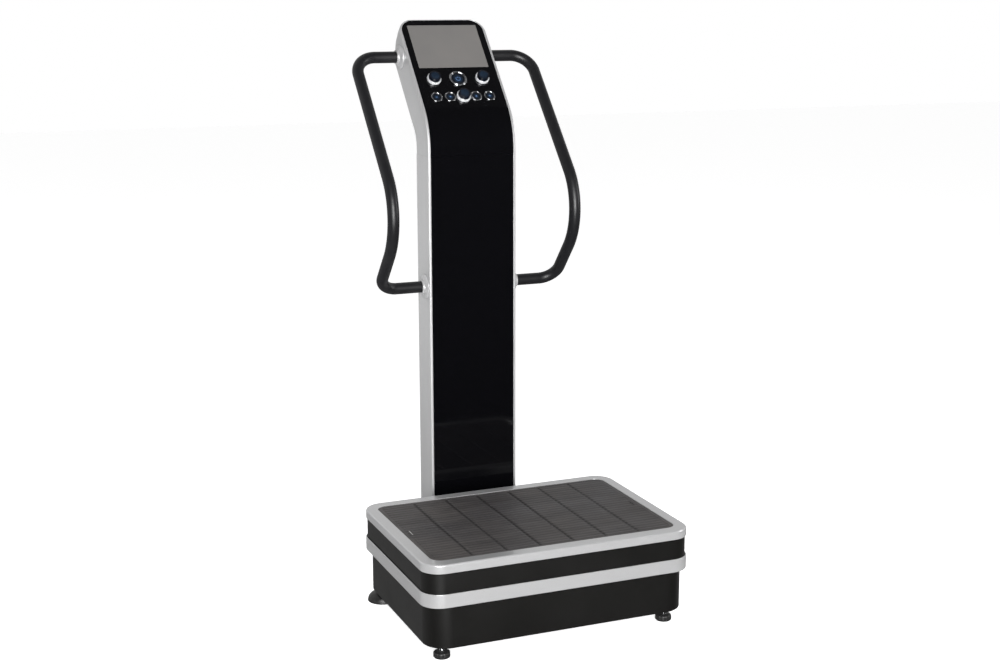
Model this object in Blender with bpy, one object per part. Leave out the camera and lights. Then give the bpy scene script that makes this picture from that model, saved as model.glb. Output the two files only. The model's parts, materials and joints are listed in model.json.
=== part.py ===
"""Standing vibration plate: a rocking deck on a box base, a flat column and a leaning control console.

Metres, +Z up, front (the user's side) towards -Y. Everything hangs on an empty at the middle of the deck,
so Y below is counted from the middle of the deck. The world origin is on the floor, at the middle of the
whole machine.
"""
import math

import bmesh
import bpy
from mathutils import Matrix, Vector

GAP = 0.0003                     # between pieces that touch

# ---- deck and base -------------------------------------------------------------------------------
DECK_Y = -0.1627                 # the deck's middle, in the world
DECK_TOP = 0.2336
PLATE_X = 0.3300                 # half length of the silver rim
PLATE_Y = 0.2341                 # half depth of the silver rim
PLATE_RADIUS = 0.0475
RIM_HEIGHT = 0.0211
RIM_WALL = 0.0023
RIM_TOP_THICK = 0.0040
RIM_EDGE = 0.0030                # bevel along the rim's upper edge
MAT_X = 0.3024
MAT_Y = 0.2041
MAT_RADIUS = 0.0254
MAT_SUNK = 0.0008                # mat surface below the rim
SKIRT_INSET = 0.0026
SKIRT_WALL = 0.0030
SKIRT_BOTTOM = 0.1490
BAND_PROUD = 0.0012
BAND_WALL = 0.0020
BAND_TOP = 0.1652
BAND_BOTTOM = 0.1329
HOUSING_X = 0.3210
HOUSING_FRONT = -0.2290
HOUSING_REAR = 0.2241
HOUSING_RADIUS = 0.0550
HOUSING_WALL = 0.0030
HOUSING_BOTTOM = 0.0345
HOUSING_TOP = 0.1380
HOUSING_BEVEL = 0.0030
PAN_BOTTOM = 0.0440
PAN_TOP = 0.0470
BOARD_THICK = 0.0120
RAIL = 0.0300                    # outside of the square tube
RAIL_WALL = 0.0025
BASE_RAIL_X = 0.2900
BASE_RAIL_Y = 0.1500
TONGUE_END = 0.3840
DECK_RAIL_X = 0.2900
DECK_RAIL_Y = 0.1300

# ---- pivot, crank and motor ----------------------------------------------------------------------
PIVOT_Z = 0.1580
PIVOT_RADIUS = 0.0100
PIVOT_CLEARANCE = 0.0003
CRANK_X = 0.1300
CRANK_Z = 0.1200
CRANK_THROW = 0.0040
CRANK_PIN_RADIUS = 0.0100
CRANK_SHAFT_RADIUS = 0.0080
ROD_PIN_Z = 0.1750
ROD_PIN_RADIUS = 0.0040
ROD_HALF = 0.0080
ROD_RING_IN = 0.0215
ROD_RING_OUT = 0.0280
MOTOR_X = -0.1500
MOTOR_Z = 0.1250
MOTOR_RADIUS = 0.0450
MOTOR_START_Y = 0.0050
MOTOR_END_Y = 0.1350
PULLEY_Y = -0.0470
PULLEY_HALF = 0.0110
MOTOR_PULLEY_RADIUS = 0.0200
CRANK_PULLEY_RADIUS = 0.0400
BELT_THICK = 0.0035
BELT_CLEARANCE = 0.0008          # its flats stay off the pulleys, which turn inside it
BELT_HALF = 0.0080

# ---- feet ----------------------------------------------------------------------------------------
FRONT_FOOT = (0.2795, -0.1870)
REAR_FOOT = (0.2930, 0.1900)
FOOT_RADIUS = 0.0200
FOOT_HEIGHT = 0.0170
STEM_RADIUS = 0.0060
CUP_RADIUS = 0.0366

# ---- column and console --------------------------------------------------------------------------
COLUMN_X = 0.1154                # half width
COLUMN_FRONT = 0.3170
COLUMN_DEPTH = 0.0880
COLUMN_BOTTOM = 0.1305
COLUMN_SEAM = 1.0642             # joint between the column and the console
EDGE_STRIP = 0.0062              # silver edge that shows beside the black face
SHELL = 0.0030
FACE_THICK = 0.0030
REAR_FLANGE = 0.0100
NECK_X = 0.1300
NECK_REAR = 0.4120
NECK_TOP = 0.1300
TILT = math.radians(41.5)        # the console leans back this far
BEND_RADIUS = 0.1570
BEND_Z = 1.1360                  # height at which the two straight faces would meet
FACE_TOP = 0.2786                # along the leaning face, from the end of the bend
BACK_TOP = 0.2088
CORNER_RADIUS = 0.0410
END_WALL = 0.0025
MAST_X = 0.0400
MAST_FRONT = 0.3410
MAST_REAR = 0.3810
MAST_WALL = 0.0030
SCREEN_X = 0.0926
SCREEN_LOW = 0.1225
SCREEN_HIGH = 0.2591

# ---- handles -------------------------------------------------------------------------------------
TUBE_RADIUS = 0.01435
HANDLE_X = 0.2366
HANDLE_TOP = (0.5171, 1.2966)    # Y and Z of the upper leg
HANDLE_KNEE = (0.1791, 0.9299)
HANDLE_LOW = (0.3489, 0.7397)
HANDLE_BENDS = (0.0534, 0.1410, 0.0447)

# ---- controls, on the leaning face: name, X, distance up the face, kind ---------------------------
LOW_ROW = 0.0303
HIGH_ROW = 0.0855
CONTROLS = (
    ("far_left", -0.0699, LOW_ROW, "flat"),
    ("near_left", -0.0343, LOW_ROW, "flat"),
    ("lower_knob", 0.0000, LOW_ROW, "raised"),
    ("near_right", 0.0343, LOW_ROW, "flat"),
    ("far_right", 0.0699, LOW_ROW, "flat"),
    ("left_knob", -0.0640, HIGH_ROW, "raised"),
    ("start", 0.0000, HIGH_ROW, "large"),
    ("right_knob", 0.0640, HIGH_ROW, "raised"),
)
# ring outside, ring height above the face, barrel outside, cap outside, cap height above the face
CONTROL_SIZES = {
    "flat": (0.0142, 0.0018, 0.0128, 0.0103, 0.0012),
    "large": (0.0226, 0.0025, 0.0205, 0.0168, 0.0018),
    "raised": (0.0178, 0.0080, 0.0165, 0.0150, 0.0160),
}
CAP_CLEARANCE = 0.0004
BARREL_DEPTH = 0.0060
STEM_END = 0.0180
CONSOLE_BOARD_Z = -0.0220

# colour, roughness, metallic
FINISHES = {
    "silver_paint": ((0.56, 0.56, 0.57), 0.35, 0.6),
    "black_plastic": ((0.015, 0.015, 0.016), 0.45, 0.0),
    "black_gloss": ((0.004, 0.004, 0.005), 0.06, 0.0),
    "black_satin": ((0.012, 0.012, 0.013), 0.32, 0.2),
    "mat_rubber": ((0.07, 0.066, 0.066), 0.75, 0.0),
    "rubber": ((0.02, 0.02, 0.02), 0.7, 0.0),
    "chrome": ((0.75, 0.76, 0.78), 0.08, 1.0),
    "navy_cap": ((0.008, 0.016, 0.04), 0.2, 0.0),
    "screen": ((0.23, 0.225, 0.215), 0.25, 0.0),
    "steel": ((0.35, 0.35, 0.36), 0.4, 0.9),
    "board_wood": ((0.35, 0.24, 0.14), 0.7, 0.0),
    "circuit": ((0.02, 0.16, 0.06), 0.5, 0.0),
    "motor_grey": ((0.2, 0.21, 0.22), 0.45, 0.5),
}


def clear_scene():
    for thing in list(bpy.data.objects):
        bpy.data.objects.remove(thing, do_unlink=True)


def finish_material(finish):
    material = bpy.data.materials.get(finish)
    if material is None:
        colour, roughness, metallic = FINISHES[finish]
        material = bpy.data.materials.new(finish)
        material.use_nodes = True
        shader = material.node_tree.nodes["Principled BSDF"]
        shader.inputs["Base Color"].default_value = (*colour, 1.0)
        shader.inputs["Roughness"].default_value = roughness
        shader.inputs["Metallic"].default_value = metallic
    return material


def empty(name, parent, at, turn=(0.0, 0.0, 0.0)):
    thing = bpy.data.objects.new(name, None)
    bpy.context.collection.objects.link(thing)
    thing.parent = parent
    thing.location = at
    thing.rotation_euler = turn
    return thing


def place(name, bm, finish, parent, at=(0.0, 0.0, 0.0), turn=(0.0, 0.0, 0.0), sharp=35):
    """Turns a bmesh into a named object with its material, and shades it."""
    bmesh.ops.recalc_face_normals(bm, faces=bm.faces)
    mesh = bpy.data.meshes.new(name)
    bm.to_mesh(mesh)
    bm.free()
    mesh.shade_smooth()
    mesh.set_sharp_from_angle(angle=math.radians(sharp))
    thing = bpy.data.objects.new(name, mesh)
    bpy.context.collection.objects.link(thing)
    thing.parent = parent
    thing.location = at
    thing.rotation_euler = turn
    mesh.materials.append(finish_material(finish))
    return thing


def combine(target, bm, operation, parent=None, at=(0.0, 0.0, 0.0), turn=(0.0, 0.0, 0.0)):
    """Joins, cuts or intersects target with a hidden helper shape."""
    number = len(target.modifiers)
    helper = place(f"{target.name}_helper_{number}", bm, "steel", parent or target.parent, at, turn)
    helper.hide_render = True
    helper.display_type = "WIRE"
    modifier = target.modifiers.new(f"{operation.lower()}_{number}", "BOOLEAN")
    modifier.operation = operation
    modifier.solver = "EXACT"
    modifier.object = helper
    return target


# ---- shapes --------------------------------------------------------------------------------------
def block(x, y, z):
    """A box between three (low, high) pairs."""
    bm = bmesh.new()
    bmesh.ops.create_cube(bm, size=1.0)
    size = Vector((x[1] - x[0], y[1] - y[0], z[1] - z[0]))
    middle = Vector((x[0] + x[1], y[0] + y[1], z[0] + z[1])) / 2
    bmesh.ops.transform(bm, matrix=Matrix.LocRotScale(middle, None, size), verts=bm.verts)
    return bm


def rounded_outline(half_x, half_y, radius, steps=5):
    """Corner arcs of a rounded rectangle, counter-clockwise."""
    points = []
    for corner, (side_x, side_y) in enumerate(((1, 1), (-1, 1), (-1, -1), (1, -1))):
        for step in range(steps + 1):
            angle = math.pi / 2 * (corner + step / steps)
            points.append((
                side_x * (half_x - radius) + radius * math.cos(angle),
                side_y * (half_y - radius) + radius * math.sin(angle),
            ))
    return points


def prism(points, low, high):
    """An outline in XY, extruded from low to high along Z."""
    bm = bmesh.new()
    face = bm.faces.new([bm.verts.new((x, y, low)) for x, y in points])
    raised = bmesh.ops.extrude_face_region(bm, geom=[face])["geom"]
    moved = [item for item in raised if isinstance(item, bmesh.types.BMVert)]
    bmesh.ops.translate(bm, vec=(0.0, 0.0, high - low), verts=moved)
    return bm


def side_prism(points, half_x):
    """An outline in YZ, extruded across X."""
    bm = bmesh.new()
    face = bm.faces.new([bm.verts.new((-half_x, y, z)) for y, z in points])
    raised = bmesh.ops.extrude_face_region(bm, geom=[face])["geom"]
    moved = [item for item in raised if isinstance(item, bmesh.types.BMVert)]
    bmesh.ops.translate(bm, vec=(2 * half_x, 0.0, 0.0), verts=moved)
    return bm


def hoop(sections):
    """A closed hoop through loops given as (outline, z), the last one joined to the first."""
    bm = bmesh.new()
    loops = [[bm.verts.new((x, y, z)) for x, y in outline] for outline, z in sections]
    for index, loop in enumerate(loops):
        following = loops[(index + 1) % len(loops)]
        for corner in range(len(loop)):
            neighbour = (corner + 1) % len(loop)
            bm.faces.new((loop[corner], loop[neighbour], following[neighbour], following[corner]))
    return bm


def turned(profile, steps=16, closed=False):
    """A profile of (radius, z) spun about Z. An open profile starts and ends on the axis."""
    bm = bmesh.new()
    verts = [bm.verts.new((radius, 0.0, z)) for radius, z in profile]
    edges = [bm.edges.new(pair) for pair in zip(verts, verts[1:])]
    if closed:
        edges.append(bm.edges.new((verts[-1], verts[0])))
    bmesh.ops.spin(bm, geom=verts + edges, cent=(0.0, 0.0, 0.0), axis=(0.0, 0.0, 1.0),
                   angle=2 * math.pi, steps=steps)
    bmesh.ops.remove_doubles(bm, verts=bm.verts, dist=0.000005)
    return bm


def rod(radius, low, high, steps=16):
    return turned([(0.0, low), (radius, low), (radius, high), (0.0, high)], steps)


ALONG_Y = (-math.pi / 2, 0.0, 0.0)   # turns a shape made along +Z so that it points along +Y
ALONG_X = (0.0, math.pi / 2, 0.0)


def rounded_path(corners, radii, step_angle=math.radians(12)):
    """Points along straight runs joined by arcs of the given radii."""
    corners = [Vector(corner) for corner in corners]
    path = [corners[0]]
    for before, corner, after, radius in zip(corners, corners[1:], corners[2:], radii):
        back = (before - corner).normalized()
        ahead = (after - corner).normalized()
        half = back.angle(ahead) / 2
        centre = corner + (back + ahead).normalized() * radius / math.sin(half)
        start = corner + back * radius / math.tan(half) - centre
        end = corner + ahead * radius / math.tan(half) - centre
        sweep = start.angle(end)
        steps = max(3, round(sweep / step_angle))
        for step in range(steps + 1):
            share = step / steps
            arm = start * math.sin((1 - share) * sweep) + end * math.sin(share * sweep)
            path.append(centre + arm / math.sin(sweep))
    path.append(corners[-1])
    return path


# ---- the console's side outline ------------------------------------------------------------------
BEND_CENTRE = Vector((COLUMN_FRONT + BEND_RADIUS, BEND_Z - BEND_RADIUS * math.tan(TILT / 2)))
LEAN = Vector((math.sin(TILT), math.cos(TILT)))          # up the leaning face, in YZ
OUTWARD = Vector((-math.cos(TILT), math.sin(TILT)))      # out of the leaning face, in YZ
FACE_START = BEND_CENTRE + OUTWARD * BEND_RADIUS
END_SLOPE = (FACE_TOP - BACK_TOP) / COLUMN_DEPTH


def depth_line(depth, end_inset, low, steps=7):
    """Points from the bottom to the top end along a line lying this deep behind the front face."""
    radius = BEND_RADIUS - depth
    points = [Vector((COLUMN_FRONT + depth, low))]
    for step in range(steps + 1):
        angle = TILT * step / steps
        points.append(BEND_CENTRE + Vector((-math.cos(angle), math.sin(angle))) * radius)
    top = FACE_TOP - depth * END_SLOPE - end_inset * math.sqrt(1 + END_SLOPE ** 2)
    points.append(FACE_START - OUTWARD * depth + LEAN * top)
    return points


def console_outline(front, back, end_inset, low):
    """The closed side outline between two depths."""
    return depth_line(front, end_inset, low) + depth_line(back, end_inset, low)[::-1]


def face_rounding(half_x, radius, top):
    """A tall slab on the console plane whose two upper corners are round."""
    low = -0.5
    points = [(x, y + (top + low) / 2) for x, y in rounded_outline(half_x, (top - low) / 2, radius)]
    return prism(points, -0.3, 0.3)


# ---- moving deck ---------------------------------------------------------------------------------
def build_deck(machine):
    pivot = empty("deck_pivot", machine, (0.0, 0.0, PIVOT_Z))
    drop = (0.0, 0.0, -PIVOT_Z)
    rim_bottom = DECK_TOP - RIM_HEIGHT
    rim_under = DECK_TOP - RIM_TOP_THICK

    def plate(inset):
        return rounded_outline(PLATE_X - inset, PLATE_Y - inset, PLATE_RADIUS - inset)

    mat_hole = rounded_outline(MAT_X + GAP, MAT_Y + GAP, MAT_RADIUS + GAP)
    rim = hoop([
        (plate(0.0), rim_bottom), (plate(0.0), DECK_TOP - RIM_EDGE),
        (plate(RIM_EDGE * 0.3), DECK_TOP - RIM_EDGE * 0.3), (plate(RIM_EDGE), DECK_TOP),
        (mat_hole, DECK_TOP), (mat_hole, rim_under),
        (plate(RIM_WALL), rim_under), (plate(RIM_WALL), rim_bottom),
    ])
    place("deck_rim", rim, "silver_paint", pivot, drop)

    mat_bottom = rim_under
    mat = prism(rounded_outline(MAT_X, MAT_Y, MAT_RADIUS), mat_bottom, DECK_TOP - MAT_SUNK)
    place("standing_mat", mat, "mat_rubber", pivot, drop)

    skirt_top = rim_under - GAP
    skirt = hoop([
        (plate(SKIRT_INSET), SKIRT_BOTTOM), (plate(SKIRT_INSET), skirt_top),
        (plate(SKIRT_INSET + SKIRT_WALL), skirt_top), (plate(SKIRT_INSET + SKIRT_WALL), SKIRT_BOTTOM),
    ])
    place("deck_skirt", skirt, "black_plastic", pivot, drop)

    board_top = rim_under - GAP
    board_bottom = board_top - BOARD_THICK
    board = prism(plate(SKIRT_INSET + SKIRT_WALL + GAP), board_bottom, board_top)
    place("deck_board", board, "board_wood", pivot, drop)

    frame_top = board_bottom - GAP
    build_deck_frame(pivot, drop, frame_top - RAIL, frame_top)
    return pivot


def build_deck_frame(pivot, drop, low, high):
    """Square-tube ladder under the board, with the pivot stubs and the connecting rod's pin."""
    half = RAIL / 2

    def rail_along_x(y):
        return block((-DECK_RAIL_X, DECK_RAIL_X), (y - half, y + half), (low, high))

    frame = place("deck_frame", rail_along_x(0.0), "steel", pivot, drop)
    for y in (-DECK_RAIL_Y, DECK_RAIL_Y):
        combine(frame, rail_along_x(y), "UNION", at=drop)
    cross_y = DECK_RAIL_Y + half - 0.002
    for x in (-0.262, -0.12, 0.12, 0.262):
        cross = block((x - half, x + half), (-cross_y, cross_y), (low + 0.001, high - 0.001))
        combine(frame, cross, "UNION", at=drop)
    for y in (-DECK_RAIL_Y, 0.0, DECK_RAIL_Y):
        hollow = block((-DECK_RAIL_X - 0.01, DECK_RAIL_X + 0.01),
                       (y - half + RAIL_WALL, y + half - RAIL_WALL), (low + RAIL_WALL, high - RAIL_WALL))
        combine(frame, hollow, "DIFFERENCE", at=drop)
    for side in (-1, 1):
        edges = sorted((side * 0.1155, side * 0.1255))
        hanger = block((-0.022, 0.022), edges, (PIVOT_Z - 0.014, low + RAIL_WALL - 0.0005))
        combine(frame, hanger, "UNION", at=drop)
        combine(frame, rod(PIVOT_RADIUS, 0.0, 0.066), "UNION",
                at=(0.0, side * 0.118, 0.0), turn=(-side * math.pi / 2, 0.0, 0.0))
        edges = sorted((side * (ROD_HALF + 0.0025), side * (ROD_HALF + 0.0065)))
        ear = block((CRANK_X - 0.011, CRANK_X + 0.011), edges, (ROD_PIN_Z - 0.010, low + RAIL_WALL - 0.0005))
        combine(frame, ear, "UNION", at=drop)
    pin_half = ROD_HALF + 0.0055
    combine(frame, rod(ROD_PIN_RADIUS, -pin_half, pin_half, 12), "UNION",
            at=(CRANK_X, 0.0, ROD_PIN_Z - PIVOT_Z), turn=ALONG_Y)


# ---- fixed base ----------------------------------------------------------------------------------
def build_base(machine):
    def shape(inset, radius=PLATE_RADIUS):
        return rounded_outline(PLATE_X - inset, PLATE_Y - inset, radius)

    def housing_shape(inset, radius):
        half_y = (HOUSING_REAR - HOUSING_FRONT) / 2 - inset
        shift = (HOUSING_REAR + HOUSING_FRONT) / 2
        return [(x, y + shift) for x, y in rounded_outline(HOUSING_X - inset, half_y, radius)]

    inner_band = -BAND_PROUD + BAND_WALL
    band = hoop([
        (shape(-BAND_PROUD), BAND_BOTTOM + 0.0010), (shape(-BAND_PROUD), BAND_TOP - 0.0010),
        (shape(-BAND_PROUD + 0.0007), BAND_TOP), (shape(inner_band), BAND_TOP),
        (shape(inner_band), BAND_BOTTOM + BAND_WALL),
        (housing_shape(-GAP, HOUSING_RADIUS), BAND_BOTTOM + BAND_WALL),
        (housing_shape(-GAP, HOUSING_RADIUS), BAND_BOTTOM),
        (shape(-BAND_PROUD + 0.0010), BAND_BOTTOM),
    ])
    place("lower_band", band, "silver_paint", machine)

    inner_radius = HOUSING_RADIUS - HOUSING_WALL
    housing = place("lower_housing", hoop([
        (housing_shape(HOUSING_BEVEL * 0.5, HOUSING_RADIUS), HOUSING_BOTTOM),
        (housing_shape(0.0, HOUSING_RADIUS), HOUSING_BOTTOM + HOUSING_BEVEL),
        (housing_shape(0.0, HOUSING_RADIUS), HOUSING_TOP),
        (housing_shape(HOUSING_WALL, inner_radius), HOUSING_TOP),
        (housing_shape(HOUSING_WALL, inner_radius), HOUSING_BOTTOM),
    ]), "black_plastic", machine)
    tongue_hole = block((-0.075, 0.075), (HOUSING_REAR - 0.013, PLATE_Y), (PAN_TOP, PAN_TOP + RAIL + 0.002))
    combine(housing, tongue_hole, "DIFFERENCE")

    pan_outline = housing_shape(HOUSING_WALL + GAP, inner_radius - GAP)
    pan = place("base_pan", prism(pan_outline, PAN_BOTTOM, PAN_TOP), "steel", machine)
    for x, y in ((-FRONT_FOOT[0], FRONT_FOOT[1]), FRONT_FOOT):
        stem_hole = rod(STEM_RADIUS + GAP, PAN_BOTTOM - 0.005, PAN_TOP + 0.005)
        combine(pan, stem_hole, "DIFFERENCE", at=(x, y, 0.0))

    build_base_frame(machine)
    build_neck(machine)
    build_pivot_bearings(machine)
    build_feet(machine)


def build_base_frame(machine):
    """Three long tubes and two end tubes on the pan, with a tongue at the rear for the mast."""
    low = PAN_TOP + GAP
    high = low + RAIL
    half = RAIL / 2

    def rail_along_x(y):
        return block((-BASE_RAIL_X, BASE_RAIL_X), (y - half, y + half), (low, high))

    frame = place("base_frame", rail_along_x(0.0), "steel", machine)
    for y in (-BASE_RAIL_Y, BASE_RAIL_Y):
        combine(frame, rail_along_x(y), "UNION")
    cross_y = BASE_RAIL_Y + half - 0.002
    for x in (-0.250, 0.250):
        cross = block((x - half, x + half), (-cross_y, cross_y), (low + 0.001, high - 0.001))
        combine(frame, cross, "UNION")
    for x in (-0.055, 0.055):
        tongue = block((x - half, x + half), (BASE_RAIL_Y - half + 0.001, TONGUE_END),
                       (low + 0.0005, high - 0.0005))
        combine(frame, tongue, "UNION")
    end_plate = block((-0.068, 0.068), (TONGUE_END - RAIL, TONGUE_END - 0.001), (low + 0.001, high - 0.001))
    combine(frame, end_plate, "UNION")
    for y in (-BASE_RAIL_Y, 0.0, BASE_RAIL_Y):
        hollow = block((-BASE_RAIL_X - 0.01, BASE_RAIL_X + 0.01),
                       (y - half + RAIL_WALL, y + half - RAIL_WALL), (low + RAIL_WALL, high - RAIL_WALL))
        combine(frame, hollow, "DIFFERENCE")


def build_neck(machine):
    """Cover over the tongue, open below and towards the base, with the power inlet in its rear wall."""
    front = HOUSING_REAR + GAP
    neck = place("neck_cover", prism(square_front(NECK_X, front, NECK_REAR, 0.018), HOUSING_BOTTOM, NECK_TOP),
                 "black_plastic", machine)
    hollow = prism(square_front(NECK_X - SHELL, front - 0.01, NECK_REAR - SHELL, 0.015),
                   HOUSING_BOTTOM - 0.01, NECK_TOP - SHELL)
    combine(neck, hollow, "DIFFERENCE")
    mast_hole = block((-MAST_X - 0.002, MAST_X + 0.002), (MAST_FRONT - 0.002, MAST_REAR + 0.002),
                      (NECK_TOP - 0.01, NECK_TOP + 0.01))
    combine(neck, mast_hole, "DIFFERENCE")
    inlet_hole = block((-0.0405, 0.0455), (NECK_REAR - 0.01, NECK_REAR + 0.01), (0.0725, 0.1015))
    combine(neck, inlet_hole, "DIFFERENCE")

    plate = block((-0.045, 0.050), (NECK_REAR + GAP, NECK_REAR + 0.0023), (0.068, 0.106))
    inlet = place("power_inlet", plate, "black_plastic", machine)
    combine(inlet, block((-0.040, 0.045), (0.3885, NECK_REAR + 0.001), (0.073, 0.101)), "UNION")
    combine(inlet, block((0.006, 0.034), (0.3985, NECK_REAR + 0.01), (0.078, 0.096)), "DIFFERENCE")
    combine(inlet, block((-0.034, -0.016), (0.3985, NECK_REAR + 0.01), (0.0765, 0.0975)), "DIFFERENCE")

    rocker = side_prism([(-0.006, -0.0085), (0.0040, -0.0095), (0.0018, 0.0), (0.0040, 0.0095),
                         (-0.006, 0.0085), (-0.009, 0.0)], 0.0080)
    place("power_switch", rocker, "black_gloss", machine, (-0.025, NECK_REAR + 0.0005, 0.087),
          (math.radians(-8), 0.0, 0.0))


def square_front(half_x, front, rear, radius, steps=5):
    """An outline with square front corners and round rear corners."""
    points = [(-half_x, front), (half_x, front)]
    for side in (1, -1):
        for step in range(steps + 1):
            angle = math.pi / 2 * step / steps
            if side < 0:
                angle = math.pi / 2 - angle
            points.append((side * (half_x - radius + radius * math.cos(angle)),
                           rear - radius + radius * math.sin(angle)))
    return points


def build_pivot_bearings(machine):
    base_z = PAN_TOP + RAIL + 2 * GAP
    for name, side in (("pivot_bearing_front", -1), ("pivot_bearing_rear", 1)):
        edges = sorted((side * 0.1400, side * 0.1640))
        bearing = place(name, block((-0.024, 0.024), edges, (base_z, PIVOT_Z + 0.002)), "steel", machine)
        combine(bearing, rod(0.0235, 0.0005, 0.0235, 20), "UNION",
                at=(0.0, side * 0.1400, PIVOT_Z), turn=(-side * math.pi / 2, 0.0, 0.0))
        combine(bearing, rod(PIVOT_RADIUS + PIVOT_CLEARANCE, -0.01, 0.04, 20), "DIFFERENCE",
                at=(0.0, side * 0.1400, PIVOT_Z), turn=(-side * math.pi / 2, 0.0, 0.0))


def build_feet(machine):
    for name, side in (("left", -1), ("right", 1)):
        at = (side * FRONT_FOOT[0], FRONT_FOOT[1], 0.0)
        stem = turned([(0.0, FOOT_HEIGHT + GAP), (STEM_RADIUS, FOOT_HEIGHT + GAP), (STEM_RADIUS, 0.0780),
                       (0.0, 0.0780)], 12)
        place(f"foot_stem_{name}", stem, "chrome", machine, at)
        lobes = 27
        outline = []
        for step in range(lobes):
            angle = 2 * math.pi * step / lobes
            radius = FOOT_RADIUS - 0.0007 + 0.0007 * math.cos(9 * angle)
            outline.append((radius * math.cos(angle), radius * math.sin(angle)))

        def scaled(share):
            return [(x * share, y * share) for x, y in outline]

        pad = bmesh.new()
        loops = []
        for share, z in ((0.86, 0.0), (1.0, 0.0030), (1.0, 0.0110), (0.84, 0.0150), (0.55, FOOT_HEIGHT)):
            loops.append([pad.verts.new((x, y, z)) for x, y in scaled(share)])
        for lower, upper in zip(loops, loops[1:]):
            for corner in range(lobes):
                neighbour = (corner + 1) % lobes
                pad.faces.new((lower[corner], lower[neighbour], upper[neighbour], upper[corner]))
        pad.faces.new(loops[0][::-1])
        pad.faces.new(loops[-1])
        place(f"foot_pad_{name}", pad, "rubber", machine, at)

        cup = turned([(0.0, 0.0), (CUP_RADIUS - 0.001, 0.0), (CUP_RADIUS, 0.0020), (0.0354, 0.0050),
                      (0.0325, 0.0095), (0.0265, 0.0148), (0.0196, 0.0186), (0.0150, 0.0205),
                      (0.0150, PAN_BOTTOM - GAP), (0.0, PAN_BOTTOM - GAP)], 24)
        place(f"suction_foot_{name}", cup, "rubber", machine, (side * REAR_FOOT[0], REAR_FOOT[1], 0.0))


# ---- drive ---------------------------------------------------------------------------------------
def pulley_profile(radius, shaft, low, high, lip=0.0035):
    """Belt pulley with two flanges on a shaft that runs from low to high."""
    rim = radius + lip
    near = PULLEY_Y - PULLEY_HALF
    far = PULLEY_Y + PULLEY_HALF
    return [(0.0, low), (shaft, low), (shaft, near), (rim, near), (rim, near + 0.0015), (radius, near + 0.002),
            (radius, far - 0.002), (rim, far - 0.0015), (rim, far), (shaft, far), (shaft, high), (0.0, high)]


def belt_outline(offset, steps=14):
    """The belt's run round both pulleys, this far outside them, in XZ."""
    small = Vector((MOTOR_X, MOTOR_Z))
    large = Vector((CRANK_X, CRANK_Z))
    across = large - small
    lean = math.atan2(across.y, across.x)
    grow = math.asin((CRANK_PULLEY_RADIUS - MOTOR_PULLEY_RADIUS) / across.length)
    points = []
    for centre, radius, start, sweep in (
        (large, CRANK_PULLEY_RADIUS + offset, lean - math.pi / 2 - grow, math.pi + 2 * grow),
        (small, MOTOR_PULLEY_RADIUS + offset, lean + math.pi / 2 + grow, math.pi - 2 * grow),
    ):
        for step in range(steps + 1):
            angle = start + sweep * step / steps
            points.append((centre.x + radius * math.cos(angle), centre.y + radius * math.sin(angle)))
    return points


def build_drive(machine):
    base_z = PAN_TOP + RAIL + 2 * GAP
    motor_length = MOTOR_END_Y - MOTOR_START_Y
    motor = turned([
        (0.0, 0.0), (0.018, 0.0), (0.038, 0.004), (MOTOR_RADIUS - 0.002, 0.008), (MOTOR_RADIUS, 0.012),
        (MOTOR_RADIUS, motor_length - 0.012), (MOTOR_RADIUS - 0.004, motor_length - 0.004),
        (0.030, motor_length), (0.0, motor_length),
    ], 20)
    place("motor", motor, "motor_grey", machine, (MOTOR_X, MOTOR_START_Y, MOTOR_Z), ALONG_Y)

    bracket = place("motor_bracket", block((MOTOR_X - 0.056, MOTOR_X + 0.056), (-0.012, 0.160),
                                           (base_z, base_z + 0.0020)), "steel", machine)
    for side in (-1, 1):
        edges = sorted((MOTOR_X + side * 0.0475, MOTOR_X + side * 0.0510))
        combine(bracket, block(edges, (0.020, 0.120), (base_z + 0.001, MOTOR_Z)), "UNION")

    rotor = turned(pulley_profile(MOTOR_PULLEY_RADIUS, 0.0070, PULLEY_Y - PULLEY_HALF - 0.002,
                                  MOTOR_START_Y - 2 * GAP), 20)
    place("motor_pulley", rotor, "steel", machine, (MOTOR_X, 0.0, MOTOR_Z), ALONG_Y)

    outer = belt_outline(BELT_CLEARANCE + BELT_THICK)
    inner = belt_outline(BELT_CLEARANCE)
    low = PULLEY_Y - BELT_HALF
    high = PULLEY_Y + BELT_HALF
    belt = hoop([(outer, low), (outer, high), (inner, high), (inner, low)])
    bmesh.ops.transform(belt, matrix=Matrix(((1, 0, 0, 0), (0, 0, 1, 0), (0, 1, 0, 0), (0, 0, 0, 1))),
                        verts=belt.verts)
    place("drive_belt", belt, "rubber", machine)

    build_crank(machine, base_z)
    build_control_board(machine, base_z)


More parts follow.
